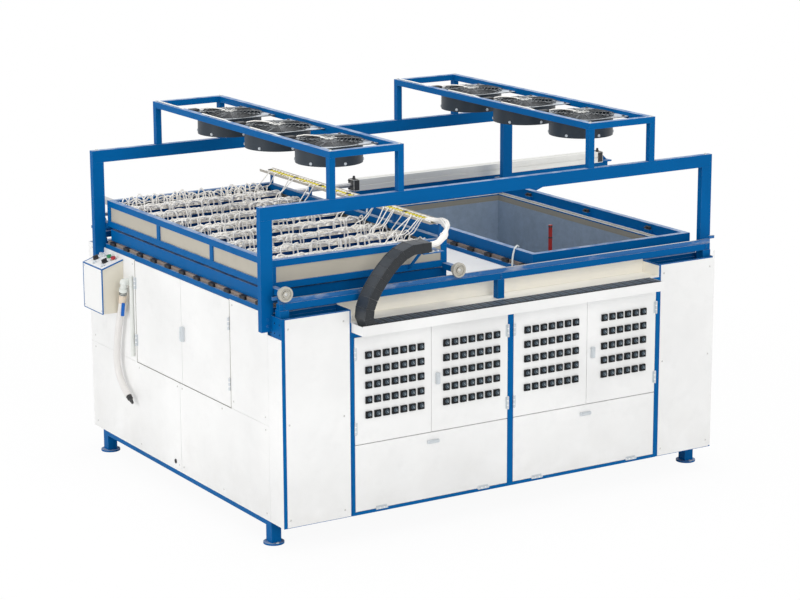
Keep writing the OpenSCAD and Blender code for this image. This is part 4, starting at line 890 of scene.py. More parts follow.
class FORMER_OT_fans(bpy.types.Operator):
    """Makes the fan guards, rotors, motors and their wires"""
    bl_idname = "former.fans"
    bl_label = "Cooling fans"
    BOLT_X, BOLT_Y, LAST_LEAD_Y = 142.0, 148.0, 1800.0
    ROTOR_DOWN, BLADES, HUB_R, BLADE_R = 49.0, 5, 43.0, 103.0
    # Both leads of a fan: from its terminal box to the hub, and along to the next fan
    WIRES = (((-98, 135, 8), (-86, 134, 12), (-60, 118, 17), (-36, 84, 18), (-20, 48, 17), (-12, 22, 14)),
             ((-150, 135, 8), (-164, 138, 12), (-176, 150, 19), (-178, 190, 21.5), (-178, 260, 21.5),
              (-178, 420, 21.5)))

    def rotor(self, x, y):
        """A motor hub with twisted, cupped blades."""
        s = Shape()
        z = FAN_PLATE_Z - self.ROTOR_DOWN
        s.lathe((x, y, z), (0, 0, 1), ((36, 0), (46, 6), (46, 46), (42, 52), (20, 52)), 40)
        for b in range(self.BLADES):
            turn = b * 2 * math.pi / self.BLADES
            points, faces = [], []
            rows, spans = 9, 7
            for side in (1, -1):
                for i in range(rows):
                    t = i / (rows - 1)
                    r = self.HUB_R + t * self.BLADE_R
                    sweep = 0.32 * t
                    chord = 0.95 - 0.35 * t
                    pitch = math.radians(34 - 14 * t)
                    for j in range(spans):
                        u = j / (spans - 1) - 0.5
                        a = turn + sweep + u * chord * 60 / r * 1.35
                        rise = u * chord * 62 * math.sin(pitch) - 6 * (1 - 4 * u * u)
                        points.append((x + r * math.cos(a), y + r * math.sin(a), z + 27 + rise + side * 0.8))
            n = rows * spans
            for i in range(rows - 1):
                for j in range(spans - 1):
                    k = i * spans + j
                    faces.append((k, k + spans, k + spans + 1, k + 1))
                    faces.append((n + k, n + k + 1, n + k + spans + 1, n + k + spans))
            rim = ([i * spans for i in range(rows)] + [(rows - 1) * spans + j for j in range(1, spans)]
                   + [i * spans + spans - 1 for i in range(rows - 2, -1, -1)] + list(range(spans - 2, 0, -1)))
            for k, m in zip(rim, rim[1:] + rim[:1]):
                faces.append((k, m, n + m, n + k))
            s.add(points, faces)
        return s

    def guard(self, s, x, y, fans):
        """A domed wire guard: rings, spokes and the four bolts that hold it."""
        def rise(r):
            return -7 * (r / GUARD_R) ** 2

        for k in range(fans.guard_rings):
            r = 34 + k * ((GUARD_R - 34) / (fans.guard_rings - 1))
            s.ring((x, y, GUARD_Z + 12 + rise(r)), (0, 0, 1), r, fans.wire_radius, 56, 6)
        for k in range(8):
            a = math.pi * (k + 0.5) / 4
            s.pipe([(x + r * math.cos(a), y + r * math.sin(a), GUARD_Z + 14 + rise(r) - (8 if r > 165 else 0))
                    for r in (34, 60, 90, 120, GUARD_R, 168)], fans.wire_radius * 1.3, 6)
        for sx, sy in product((-1, 1), repeat=2):
            s.hex_bolt((x + sx * self.BOLT_X, y + sy * self.BOLT_Y, GUARD_Z), (0, 0, 1), 5.5)

    def hub(self, s, x, y):
        """The guard's hub plate with its five short arms."""
        s.lathe((x, y, GUARD_Z + 8), (0, 0, 1), ((22, 0), (24, 2), (24, 4), (20, 5.5), (6, 6)), 32)
        for k in range(5):
            a = 2 * math.pi * (k + 0.3) / 5
            s.pipe([(x + r * math.cos(a), y + r * math.sin(a), GUARD_Z + h)
                    for r, h in ((14, 14), (26, 17), (40, 16.5))], 2.4, 8)

    def execute(self, context):
        fans = context.scene.former_fans
        for side, x in zip(SIDES, FAN_X):
            guard, hub, rivet, box, wire = shapes(5)
            for row, y in zip(ROWS, FAN_Y):
                self.guard(guard, x, y, fans)
                self.hub(hub, x, y)
                for k in range(6):
                    a = math.radians(28 + 60 * k)
                    way = Vector((math.cos(a), math.sin(a), 0))
                    rivet.lathe(Vector((x, y, DUCT_Z + 12)) + way * (DUCT_R - 0.2), way,
                                ((7, 0), (7, 2), (4.5, 4)), 14)
                box.block((x - 150, y + 118, GUARD_Z), (x - 104, y + 152, GUARD_Z + 16), 2.5)
                box.lathe((x - 104, y + 135, GUARD_Z + 8), (1, 0, 0), ((6, 0), (6, 8), (4.5, 10)), 14)
                for path in self.WIRES:
                    wire.pipe([(x + dx, min(y + dy, self.LAST_LEAD_Y), GUARD_Z + dz) for dx, dy, dz in path],
                              3.2, 8)
                fan = f"{side}_{row}"
                rotor = self.rotor(x, y).piece(f"rotor_{fan}", "black", f"fan_{fan}", "fan_black", 50)
                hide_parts(f"fan_rotor_{side}_{row}")
            guard.piece(f"fan_guards_{side}", "guard", "body", "steel")
            hub.piece(f"fan_guard_hubs_{side}", "zinc", "body", "steel", 50)
            rivet.piece(f"duct_screws_{side}", "clip", "body", "steel")
            box.piece(f"fan_terminal_boxes_{side}", "black", "body", "fan_black")
            wire.piece(f"fan_wires_{side}", "wire", "body", "white_paint", 60)
        return {"FINISHED"}


class FORMER_OT_oven_wiring(bpy.types.Operator):
    """Lays the channel covers, ceramic terminals and element leads on top of the oven"""
    bl_idname = "former.oven_wiring"
    bl_label = "Oven wiring"
    BUSH = ((8, 0), (8.6, 2), (6.4, 8), (5.2, 11))
    X0, X1 = OVEN_X + 31, OVEN_X + OVEN_W - 31
    LOW, TOP = TRAY_Z + 2.6, TRAY_Z + 25.4

    def wire(self, points, thick=1.0, steps=4):
        """A lead along a smooth path, thick times the usual radius."""
        self.lead.pipe(smooth_path(points, steps), self.sizes.lead_radius * thick, 7)

    def spring(self, a, b, low, high, *bow):
        """A lead that bows up from a to b, low to high times the usual loop's height."""
        rise = self.sizes.loop_height * self.pick.uniform(low, high)
        self.lead.pipe(arc_between(a, b, rise, *bow), self.sizes.lead_radius, 7)

    def foot(self, x, y):
        """Sets a bush in the tray and gives the point where its lead goes in."""
        self.bush.lathe((x, y, self.LOW - 0.6), (0, 0, 1), self.BUSH, 12)
        return Vector((x, y, self.LOW + 9))

    def drop_leads(self, start, y):
        """A lead or two from a terminal down through the tray in front of its channel."""
        pick = self.pick
        for side in (-9, 8):
            if pick.random() < 0.5:
                continue
            out = pick.uniform(-64, 64)
            end = self.foot(min(max(start.x + side + out, self.X0 + 8), self.X1 - 8),
                            y - pick.uniform(56, 84))
            sway = min(max(out * 0.4, self.X0 + 6 - end.x), self.X1 - 6 - end.x)
            self.spring(start + Vector((side, -7, 0)), end, 0.8, 1.7, 10, (sway, -10, 0))

    def hoop(self, x, y):
        """A stiff lead that rises from one bush, bends over and goes down into the next."""
        pick = self.pick
        span, reach = pick.uniform(44, 96), pick.uniform(58, 82)
        a = Vector((x - span / 2, y - reach, self.LOW + 9))
        b = Vector((x + span / 2, y - reach + pick.uniform(-12, 12), self.LOW + 9))
        if a.x < self.X0 + 8 or b.x > self.X1 - 8:
            return
        crest = pick.uniform(34, 54)
        back = Vector((0, pick.uniform(6, 26), 0))
        for end in (a, b):
            self.foot(end.x, end.y)
        self.wire([a, a + back * 0.5 + Vector((3, 0, crest * 0.7)),
                   a.lerp(b, 0.3) + back + Vector((0, 0, crest)),
                   a.lerp(b, 0.7) + back + Vector((0, 0, crest * pick.uniform(0.85, 1.05))),
                   b + back * 0.5 + Vector((-3, 0, crest * 0.6)), b], 1.1)

    def rear_leads(self):
        """The last row's leads, gathered in slack waves along the frame's rear member."""
        pick, x0, x1 = self.pick, self.X0, self.X1
        y = OVEN_Y + OVEN_L - REAR_LEADS_IN
        for layer in range(REAR_LEAD_LAYERS):
            z = self.LOW + 14 + layer * 13
            self.wire([(x0 + 10 + n * (x1 - x0 - 20) / 40, y - pick.uniform(0, 16) + layer * 2,
                        z + pick.uniform(-9, 9)) for n in range(41)], 1.2, 3)
        x = x0 + 24
        while x < x1 - 60:
            span, crest = pick.uniform(30, 64), pick.uniform(30, 62)
            a = Vector((x, y - 22, self.LOW + 24))
            b = Vector((x + span, y - pick.uniform(16, 26), self.LOW + 24))
            self.wire([a, a + Vector((3, 8, crest * 0.7)), (a + b) / 2 + Vector((0, 14, crest)),
                       b + Vector((-3, 8, crest * 0.6)), b], 1.1)
            x += pick.uniform(16, 46)

    def loop_lead(self, start):
        """A slack loop from one terminal to the next."""
        pick = self.pick
        reach, rise = pick.uniform(10, 30), pick.uniform(3, 22)
        stop = start + Vector((36 + pick.uniform(-16, 34), pick.uniform(-3, 3), 0))
        if stop.x < self.X1 - 8:
            self.wire([start, start + Vector((3, -reach, rise * 0.8)),
                       (start + stop) / 2 + Vector((pick.uniform(-7, 7), -reach * 1.3, rise)),
                       stop + Vector((-3, -reach, rise * 0.5)), stop])

    def execute(self, context):
        self.sizes = context.scene.former_wiring
        self.pick = pick = random.Random(self.sizes.seed)
        cover, block, screw, self.bush, self.lead, run = shapes(6)
        x0, x1, top = self.X0, self.X1, self.TOP
        step = (x1 - x0) / (2 * ELEMENT_COLUMNS)
        for i in range(CHANNELS):
            y = channel_y(i)
            cover.block((x0, y - 40, top + 0.1), (x1, y + 38, top + 1.3), 0.5)
            for k, dy in enumerate((12, 24)):
                points = [(x0 + 8 + n * (x1 - x0 - 40) / 26, y + dy + pick.uniform(-5, 5),
                           top + 6.5 + k * 4 + pick.uniform(-1.5, 6)) for n in range(27)]
                run.pipe(smooth_path(points, 3), 4.4, 7)
            for c in range(2 * ELEMENT_COLUMNS):
                x = x0 + (c + 0.5) * step
                bx, by = x + pick.uniform(-4, 4), y - 24
                block.block((bx - 15, by - 11, top + 1.2), (bx + 15, by + 11, top + 20), 4.0)
                block.block((bx - 2, by - 11.6, top + 1.2), (bx + 2, by + 11.6, top + 24), 1.2)
                for dx in (-9, 9):
                    screw.lathe((bx + dx, by, top + 20), (0, 0, 1), ((4.2, 0), (4.2, 1.4), (2.8, 2.4)), 10)
                self.drop_leads(Vector((bx, by, top + 11)), y)
                if pick.random() < 0.6:
                    self.hoop(bx, y)
                self.loop_lead(Vector((bx + 9, by - 7, top + 9)))
                if pick.random() < 0.7:
                    self.loop_lead(Vector((bx - 3, by + 18, top + 12)))
                if pick.random() < 0.35:
                    end = self.foot(bx + pick.uniform(-20, 20), y + 40 + pick.uniform(10, 24))
                    self.spring((bx + 8, by + 26, top + 12), end, 0.6, 0.95)
        self.rear_leads()
        cover.piece("channel_covers", "cover", "oven", "galvanised")
        block.piece("ceramic_terminals", "bead", "oven", "ceramic")
        screw.piece("terminal_screws", "zinc", "oven", "steel")
        self.bush.piece("lead_bushes", "bead", "oven", "ceramic")
        self.lead.piece("element_leads", "wire", "oven", "ceramic", 60)
        run.piece("oven_wire_runs", "wire", "oven", "ceramic", 60)
        return {"FINISHED"}


class FORMER_OT_terminals(bpy.types.Operator):
    """Fills the terminal tray and leads its cables to the drag chain"""
    bl_idname = "former.terminals"
    bl_label = "Terminal tray"
    BLOCKS, BLOCK_PITCH, STOP_EVERY = 108, 14.4, 18
    CORES, BUNDLE_R = 10, 12.5
    FULL_CHANNELS, FULL, FEW = 2, 5, 2

    def execute(self, context):
        w = context.scene.former_wiring
        pick = random.Random(w.seed + 1)
        block, stop, wire, tie, bundle = shapes(5)
        x0, x1 = OVEN_X + OVEN_W - 76, OVEN_X + OVEN_W
        z = TRAY_FLOOR + 2.0
        for n in range(self.BLOCKS):
            y = OVEN_Y + 50 + n * self.BLOCK_PITCH
            if (n + 1) % self.STOP_EVERY == 0:
                stop.block((x0 + 27, y + 1.5, z), (x0 + 51, y + 11.5, z + 12), 1.5)
                continue
            block.block((x0 + 30, y, z), (x0 + 48, y + 13.2, z + 8), 1.2)
            block.block((x0 + 35, y + 4, z + 7.6), (x0 + 43, y + 9.2, z + 9.5), 0.8)
            if n % 2 == 0:
                for near, far, dy in ((x0 + 31, x0 + 6, 0), (x0 + 47, x1 - 7, 6)):
                    wire.pipe(arc_between((near, y + 6, z + 5), (far, y + dy + pick.uniform(-16, 16), z + 3),
                                          pick.uniform(3, 6), 6), 2.2, 6)
        for edge in (x0 + 6, x0 + 10, x1 - 9):
            points = [(edge + pick.uniform(-1.5, 1.5), OVEN_Y + 34 + n * 64, z + 4 + pick.uniform(0, 3))
                      for n in range(26)]
            bundle.pipe(smooth_path(points, 3), 3.6, 7)
        for i in range(CHANNELS):
            y = channel_y(i)
            for k in range(self.FULL if i < self.FULL_CHANNELS else self.FEW):
                reach = 34 + k * 30 + pick.uniform(-22, 40)
                start = Vector((x0 + 4, y + (k - 1.5) * 30 + pick.uniform(-34, 20), z + 5))
                lip = Vector((x0 - 5, start.y - 3, z + 9))
                end = Vector((x0 - reach, y + 12 + (k % 3) * 6, TRAY_Z + 36))
                mid = lip.lerp(end, 0.5) + Vector((0, 0, pick.uniform(-14, 10)))
                near = lip.lerp(end, 0.82) + Vector((0, 0, pick.uniform(2, 16)))
                wire.pipe(smooth_path([start, lip, mid, near, end, end + Vector((-34, 3, -2))], 4), 2.8, 6)
        for k in range(self.CORES + 1):
            # The last core runs in the middle of the others
            a, r = 2 * math.pi * k / self.CORES, self.BUNDLE_R if k < self.CORES else 0
            du, dv = r * math.cos(a), r * math.sin(a)
            j = [pick.uniform(-3, 3) for _ in range(4)]
            points = [(x0 + 36 + du * 1.4, OVEN_Y + 92, z + 8 + abs(dv) * 0.4),
                      (x0 + 38 + du * 1.3, OVEN_Y + 24, z + 13 + dv * 0.5),
                      (x0 + 30 + du, OVEN_Y - 36 + j[0], z + 20 + dv),
                      (x0 + 8 + du + j[1], OVEN_Y - 104, z + 14 + dv),
                      (x0 - 30 + j[2], CHAIN_Y + 76 + du, z - 6 + dv),
                      (x0 - 66 + j[3], CHAIN_Y + 58 + du, z - 28 + dv),
                      (x0 - 100, CHAIN_Y + 46 + du, z - 41 + dv * 0.8),
                      *((x, CHAIN_Y + 45 + du * 1.6, RUN_TOP_Z + dv * 0.8) for x in (708, 690))]
            bundle.pipe(smooth_path(points, 5), 4.4, 8)
        for place, way in (((x0 + 22, OVEN_Y - 70, z + 18), (-0.35, -1, -0.1)),
                           ((x0 - 48, CHAIN_Y + 66, z - 17), (-1, -0.4, -0.6))):
            tie.lathe(Vector(place) - Vector(way).normalized() * 2.5, way,
                      ((18, 0), (19, 1), (19, 4), (18, 5)), 24)
        block.piece("terminal_blocks", "yellow", "oven", "ceramic")
        stop.piece("terminal_end_stops", "black", "oven", "ceramic")
        tie.piece("bundle_ties", "wire", "oven", "ceramic")
        wire.piece("terminal_wires", "wire", "oven", "ceramic", 60)
        bundle.piece("oven_cable_bundle", "wire", "oven", "ceramic", 60)
        return {"FINISHED"}


class FORMER_OT_drag_chain(bpy.types.Operator):
    """Builds the drag chain link by link over its CAD path"""
    bl_idname = "former.drag_chain"
    bl_label = "Drag chain"
    UPPER_LINKS, CLAMP_X, CLAMP_Z = 2, 700.0, 1300.0

    def mitres(self, points):
        """Offset from the middle line to the outer edge at every joint."""
        out = []
        for i, p in enumerate(points):
            u = (p - points[i - 1]).normalized() if i else (points[1] - p).normalized()
            v = (points[i + 1] - p).normalized() if i < len(points) - 1 else u
            n = Vector((-(u.y + v.y), u.x + v.x)).normalized()
            out.append(n / n.dot(Vector((-u.y, u.x))))
        return out

    def link(self, s, a, b, ma, mb, bolts=True):
        """One link from a to b: side plates and bars between the mitres ma and mb."""
        half, y0, y1 = CHAIN_T / 2, CHAIN_Y, CHAIN_Y + CHAIN_W
        way = (b - a).normalized()

        def plate(h, gap, low, high):
            g = way * gap
            s.prism([a + g - ma * h, b - g - mb * h, b - g + mb * h, a + g + ma * h], low, high)
        plate(half - 2.2, 0.1, y0 + 3, y1 - 3)
        for low, high in ((y0 + 0.8, y0 + 6), (y1 - 6, y1 - 0.8)):
            plate(half - 0.3, 0.7, low, high)
        for sign in (-1, 1):
            g = way * 1.4
            inner, outer = half - 2.6, half - 0.5
            quad = [a + g + ma * sign * inner, b - g + mb * sign * inner, b - g + mb * sign * outer,
                    a + g + ma * sign * outer]
            s.prism(quad if sign > 0 else quad[::-1], y0 + 8, y1 - 8)
        if bolts:
            for side, y in ((-1, y0 + 0.8), (1, y1 - 0.8)):
                p = a.lerp(b, 0.5)
                s.lathe((p.x, y, p.y), (0, side, 0), ((6.5, 0), (6.5, 0.5), (5, 0.8)), 16)

    def execute(self, context):
        bend = [Vector(p) for p in CHAIN_POINTS]
        up = Vector((0, 1))
        m = self.mitres(bend)[:-1] + [up]
        upper, loop, run, rung = shapes(4)
        for i in range(len(bend) - 1):
            on_loop = i >= self.UPPER_LINKS
            self.link(loop if on_loop else upper, bend[i], bend[i + 1], m[i], m[i + 1], on_loop)
        # The lower run lies in the trough; its end is screwed down at the right
        count = round((RUN_END - bend[-1].x) / CHAIN_LINK)
        pitch = (RUN_END - bend[-1].x) / count
        y0, y1, half = CHAIN_Y, CHAIN_Y + CHAIN_W, CHAIN_T / 2
        for k in range(count):
            a = bend[-1] + Vector((pitch * k, 0))
            b = a + Vector((pitch, 0))
            self.link(run, a, b, up, up)
            # The ribs on the run's top take the lighter rung finish: painted highlights on the crossbars.
            for rib in (0.3, 0.7):
                x = a.x + pitch * rib
                rung.block((x - 4, y0 + 7, CHAIN_RUN_Z + half - 0.6),
                           (x + 4, y1 - 7, CHAIN_RUN_Z + half + 1.8), 0.8)
        bends = loop.piece("drag_chain_bend", "chain", "chain", "chain_plastic", 30)
        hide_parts("chain_loop")
        lower = run.piece("drag_chain_lower_run", "chain", "body", "chain_plastic", 30)
        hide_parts("chain_loop")
        rungs = rung.piece("drag_chain_rungs", "rung", "body", "chain_plastic", 30)
        for piece in (lower, rungs):
            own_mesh(piece)
        band = upper.piece("drag_chain_upper", "chain", None, "chain_plastic", 30)
        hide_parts("chain_upper_run")
        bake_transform(band)
        clamp = Shape()
        x, z = self.CLAMP_X, self.CLAMP_Z
        clamp.block((x, y0 - 2, z), (x + 22, y1 + 2, z + 2.5), 0.6)
        for y, dx in product((y0 + 14, y1 - 14), (30, 54)):
            clamp.hex_bolt((x + dx, y, z), (0, 0, 1), 5)
        clamp.piece("chain_clamp", "zinc", "oven", "steel")
        end = Shape()
        end.block((RUN_END, y0 + 4, CHAIN_RUN_Z - 20), (RUN_END + 10, y1 - 4, CHAIN_RUN_Z + 20), 1.0)
        end.piece("chain_end_bracket", "zinc", "body", "steel")
        return {"FINISHED"}


class FORMER_OT_wheels(bpy.types.Operator):
    """Adds rims, hub rings and bolts to the oven's wheels"""
    bl_idname = "former.wheels"
    bl_label = "Oven wheels"
    FACE_Y, RIM_R, RING_R, BOLTS, BOLTS_R = 12.0, 31.0, 25.2, 6, 19.6

    def execute(self, context):
        for side, x in zip(SIDES, WHEEL_X):
            rim, ring, nut, cap = shapes(4)
            for sign in (1, -1):
                out = Vector((0, -sign, 0))
                hub = Vector((x, MID_Y - sign * (MID_Y - self.FACE_Y), AXLE_Z))
                rim.ring(hub - out * 1.1, out, self.RIM_R, 1.2, 48, 8)
                ring.ring(hub - out, out, self.RING_R, 1.1, 48, 8)
                ring.lathe(hub - out * 5, out, ((15.8, 0), (15.8, 3.2), (14.6, 4.2), (8.6, 4.2)), 32)
                for k in range(self.BOLTS):
                    a = 2 * math.pi * k / self.BOLTS
                    way = Vector((math.cos(a), 0, math.sin(a)))
                    nut.hex_bolt(hub + way * self.BOLTS_R - out * 5, out, 2.6, False)
                cap.lathe(hub - out, out, ((7.6, 0), (7.6, 0.5), (6.8, 0.9), (2.0, 0.9)), 24)
            rim.piece(f"wheel_rims_{side}", "zinc", f"wheels_{side}", "wheel_grey", 60)
            ring.piece(f"wheel_rings_{side}", "black", f"wheels_{side}", "wheel_grey", 60)
            nut.piece(f"wheel_bolts_{side}", "zinc", f"wheels_{side}", "wheel_grey")
            cap.piece(f"axle_ends_{side}", "zinc", "oven", "steel")
        return {"FINISHED"}


class FORMER_OT_stations(bpy.types.Operator):
    """Fits out the stations: trim, latches, block bolts, black discs painted as the shade in the table holes,
    and gauge bands
    """
    bl_idname = "former.stations"
    bl_label = "Forming stations"
    HOLE_X, HOLE_Y, HOLE_PITCH_X, HOLE_PITCH_Y, TABLE_TOP = 132.0, -690.0, 67.0, 65.7, 731.3
    SCREW_PITCH, SCREW_IN, LUG_IN, BOLT_OUT = 170.0, 56.0, 39.2, 21.8
    GAUGE_BANDS = (900.0, 985.0, 1070.0, 1126.0)

    def trim(self, x, seal, edge):
        """Bead seal on the clamp frame's flange, and bright metal strips at its edges: painted highlights
        that stand in for the light caught along those edges.
        """
        top = FLANGE_TOP
        x0, x1 = x + FLANGE_X, x + CLAMP_W - FLANGE_X
        y0, y1 = STATION_Y + FLANGE_Y, STATION_Y + CLAMP_L - FLANGE_Y
        # Painted highlight: the pale aluminium strips at the flange's edges stand in for the light caught
        # along them.
        for inner, out in ((x0, -1), (x1, 1)):
            for shape, near, far, h in ((edge, 0.4, 4.4, 3.2), (seal, 4.6, 25.0, 4.0),
                                        (edge, 25.2, 28.2, 5.2)):
                a, b = sorted((inner + out * near, inner + out * far))
                shape.block((a, y0 - 4, top + 0.1), (b, y1 + 4, top + h), 0.8)
        for inner, out in ((y0, -1), (y1, 1)):
            a, b = sorted((inner + out * 0.4, inner + out * 4.4))
            edge.block((x0 + 0.6, a, top + 0.1), (x1 - 0.6, b, top + 3.2), 0.8)

    def latch(self, s, x, y):
        """A toggle latch that bears on a clamp lug."""
        z = LUG_TOP
        s.block((x - 8, y - 19, z), (x + 8, y + 19, z + 3), 0.8)
        for dy in (-12, 12):
            s.block((x - 7, y + dy - 3, z + 3), (x + 7, y + dy + 3, z + 16), 1.2)
        s.rod((x, y - 17, z + 11), (x, y + 17, z + 11), 3.4, 12)
        turn = Matrix.Rotation(math.radians(-16), 3, "X")
        s.block((x - 5, y - 6, z + 9), (x + 5, y + 34, z + 15), 2.0, turn, (x, y, z + 11))

    def execute(self, context):
        for side, x in zip(SIDES, STATION_X):
            seal, edge, latch, screw, bolt, hole = shapes(6)
            self.trim(x, seal, edge)
            middle = x + CLAMP_W / 2
            for i, out in product((-1, 0, 1), (-1, 1)):
                self.latch(latch, middle + out * (CLAMP_W / 2 - self.LUG_IN), MID_Y + i * LUG_PITCH)
            for out, i in product((-1, 1), range(-4, 5)):
                screw.screw((middle + out * (CLAMP_W / 2 - self.SCREW_IN) * 1.012,
                             MID_Y + i * self.SCREW_PITCH + 60, FLANGE_TOP), (0, 0, 1), 3.6)
            seal.piece(f"clamp_seals_{side}", "rubber", f"{side}_clamp", "seal_rubber")
            edge.piece(f"clamp_edge_highlights_{side}", "aluminium", f"{side}_clamp", "aluminium")
            latch.piece(f"clamp_latches_{side}", "black", f"{side}_clamp", "fan_black")
            screw.piece(f"clamp_screws_{side}", "zinc", f"{side}_clamp", "steel")
            for i, out, dy in product(range(-5, 6), (-1, 1), (-14, 14)):
                bolt.hex_bolt((middle + out * (CLAMP_W / 2 + self.BOLT_OUT), MID_Y + i * PAD_PITCH + dy,
                               1094.0), (out, 0, 0), 3.6, False)
            bolt.piece(f"block_bolts_{side}", "black", "body", "fan_black")
            # Painted shade: each vacuum hole is a thin black disc on the table top, standing in for the dark
            # inside of the hole.
            for i, j in product(range(11), range(22)):
                hole.lathe((x + self.HOLE_X + i * self.HOLE_PITCH_X,
                            MID_Y + self.HOLE_Y + j * self.HOLE_PITCH_Y, self.TABLE_TOP), (0, 0, 1),
                           ((5, 0), (5, 0.35), (4.2, 0.4)), 10)
            hole.piece(f"vacuum_hole_shade_discs_{side}", "black", f"{side}_table", "fan_black")
        band = Shape()
        for x, z in product(STATION_X, self.GAUGE_BANDS):
            band.lathe((x + CLAMP_W / 2 + 60, MID_Y - 200, z), (0, 0, 1),
                       ((10.1, 0), (10.3, 0.4), (10.3, 7), (10.1, 7.4)), 28)
        band.piece("gauge_bands", "black", "body", "fan_black")
        tube = Shape()
        x = STATION_X[1] - 23
        for y in (300.0, 1640.0):
            tube.pipe(smooth_path([(x, y, 1068), (x, y, 1096), (x + 6, y + 5, 1128), (x + 26, y + 20, 1156),
                                   (x + 50, y + 36, 1166), (x + 66, y + 46, 1159)], 5), 4.5, 10)
        tube.piece("clamp_air_tubes", "fitting", "right_clamp", "fitting_plastic", 60)
        return {"FINISHED"}


class FORMER_OT_cylinder(bpy.types.Operator):
    """Adds rod ends, ports and end caps to the drive cylinder"""
    bl_idname = "former.cylinder"
    bl_label = "Drive cylinder"
    TIE_RODS, CAP_L, PORT_IN = (-21.0, 21.0), 36.3, 18.0

    def execute(self, context):
        x0, x1 = CYLINDER_X, CYLINDER_X + CYLINDER_L
        s, h = Shape(), CYLINDER_S / 2
        for dy, dz, (x, out) in product(self.TIE_RODS, self.TIE_RODS, ((x0, -1), (x1, 1))):
            s.lathe((x, CYLINDER_Y + dy, CYLINDER_Z + dz), (out, 0, 0), ((5.5, 0), (5.5, 4), (4, 5)), 12)
        for x in (x0 + self.PORT_IN, x1 - self.PORT_IN):
            s.lathe((x, CYLINDER_Y, CYLINDER_Z + h), (0, 0, 1), ((9, 0), (9, 7), (7, 9), (7, 16), (5, 18)), 6)
        s.piece("cylinder_fittings", "black", "body", "fan_black")
        c = Shape()
        for a, b in ((x0 - 0.6, x0 + self.CAP_L), (x1 - self.CAP_L, x1 + 0.6)):
            c.block((a, CYLINDER_Y - h - 0.5, CYLINDER_Z - h + 0.2),
                    (b, CYLINDER_Y + h + 0.8, CYLINDER_Z + h + 0.8), 3)
        c.piece("cylinder_caps", "black", "body", "fan_black")
        return {"FINISHED"}


class FORMER_OT_controls(bpy.types.Operator):
    """Adds edge trim, bezels and lamps to the control box"""
    bl_idname = "former.controls"
    bl_label = "Control box"

    def execute(self, context):
        out = Vector((-math.sin(SLOPE), 0, math.cos(SLOPE)))
        ring, lamp, trim = shapes(3)
        for place in CONTROLS.values():
            ring.ring(on_slope(place, 0.6), out, 16.5, 1.8, 40, 8)
        for place in ((26, 40), (26, 132), (94, 160), (94, 198)):
            ring.ring(on_slope(place, 0.4), out, 10.5, 1.2, 32, 8)
            lamp.lathe(on_slope(place), out, ((9.4, 0), (9.4, 3), (8, 4), (8, 9), (5, 12), (1, 12.6)), 24)
        x, y0, y1, z0 = -BOX_DEPTH, BOX_Y, BOX_Y + 215.0, 780.0
        for z, y in product((z0 + 15, BOX_Z - 14), (y0 + 13, y1 - 13)):
            ring.screw((x, y, z), (-1, 0, 0), 4.0)
        for y, r in ((y0, 3.6), (y1, 2.2)):
            trim.rod((x, y, z0 + 1), (x, y, BOX_Z - 1), r, 8)
            trim.rod((x, y, BOX_Z), (-1.5, y, BOX_Z + 36.6), r * 1.1, 8)
        for z, r in ((z0, 2.2), (BOX_Z, 4.0)):
            trim.rod((x, y0 + 1, z), (x, y1 - 1, z), r, 8)
        ring.piece("control_bezels", "zinc", "body", "steel")
        lamp.piece("control_lamps", "clip", "body", "fitting_plastic")
        trim.piece("control_box_edges", "blue", "body", "blue_paint")
        return {"FINISHED"}


class FORMER_OT_hose(bpy.types.Operator):
    """Hangs the air hose from its fitting, with its clips and valve lever"""
    bl_idname = "former.hose"
    bl_label = "Air hose"

    def execute(self, context):
        route = [at(*p) for p in HOSE_ROUTE]
        curve = bpy.data.curves.new("air_hose_clear", "CURVE")
        curve.dimensions = "3D"
        curve.bevel_depth = 0.017
        curve.bevel_resolution = 6
        curve.use_fill_caps = True
        spline = curve.splines.new("POLY")
        fine = smooth_path(route, 4)
        spline.points.add(len(fine) - 1)
        for point, place in zip(spline.points, fine):
            point.co = (*place, 1)
        spline.use_smooth = True
        curve.materials.append(finish_named("hose"))
        hose = bpy.data.objects.new("air_hose_clear", curve)
        context.scene.collection.objects.link(hose)
        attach(hose, "body")
        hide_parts("air_hose")
        length = sum((b - a).length for a, b in zip(fine, fine[1:]))
        clip, lever = shapes(2)
        p, q = Vector(HOSE_ROUTE[0]), Vector(HOSE_ROUTE[1])
        way = (p - q).normalized()
        for d in (4.0, 12.0):
            clip.ring(p + way * d, way, 17.4, 1.6, 36, 8)
        clip.block((-34, 1524, 936), (-0.4, 1548, 946), 1.5)
        sleeve = Shape()
        sleeve.lathe(p - way * 42, way, ((17.6, 0), (18.8, 1), (18.8, 40), (17.6, 41.4)), 40)
        for d in (4.0, 36.0):
            sleeve.ring(p - way * d, way, 18.9, 0.9, 40, 8)
        top, bottom, across = Vector((-37, 1522, 842)), Vector((-35, 1541, 772)), Vector((0.85, -0.53, 0))
        along = (top - bottom).normalized()
        across = (across - along * across.dot(along)).normalized()
        turn = Matrix((across, along.cross(across), along)).transposed()
        middle = (top + bottom) / 2
        lever.block(middle - Vector((8.5, 3.6, 36)), middle + Vector((8.5, 3.6, 36)), 2.6, turn, middle)
        lever.lathe(top + Vector((0, 3, -8)), (0.53, 0.85, 0), ((6, 0), (6, 8), (5, 9)), 16)
        sleeve.piece("hose_sleeve", "sleeve", "body", "fitting_plastic", 40)
        clip.piece("hose_clips", "black", "body", "fan_black")
        lever.piece("hose_valve_lever", "blue_grip", "body", "fitting_plastic")
        return {"FINISHED"}


# Distances in metres between which the floor fades, and its glow there
FLOOR_FADE = (1.6, 4.0, 0.94, 1.0)


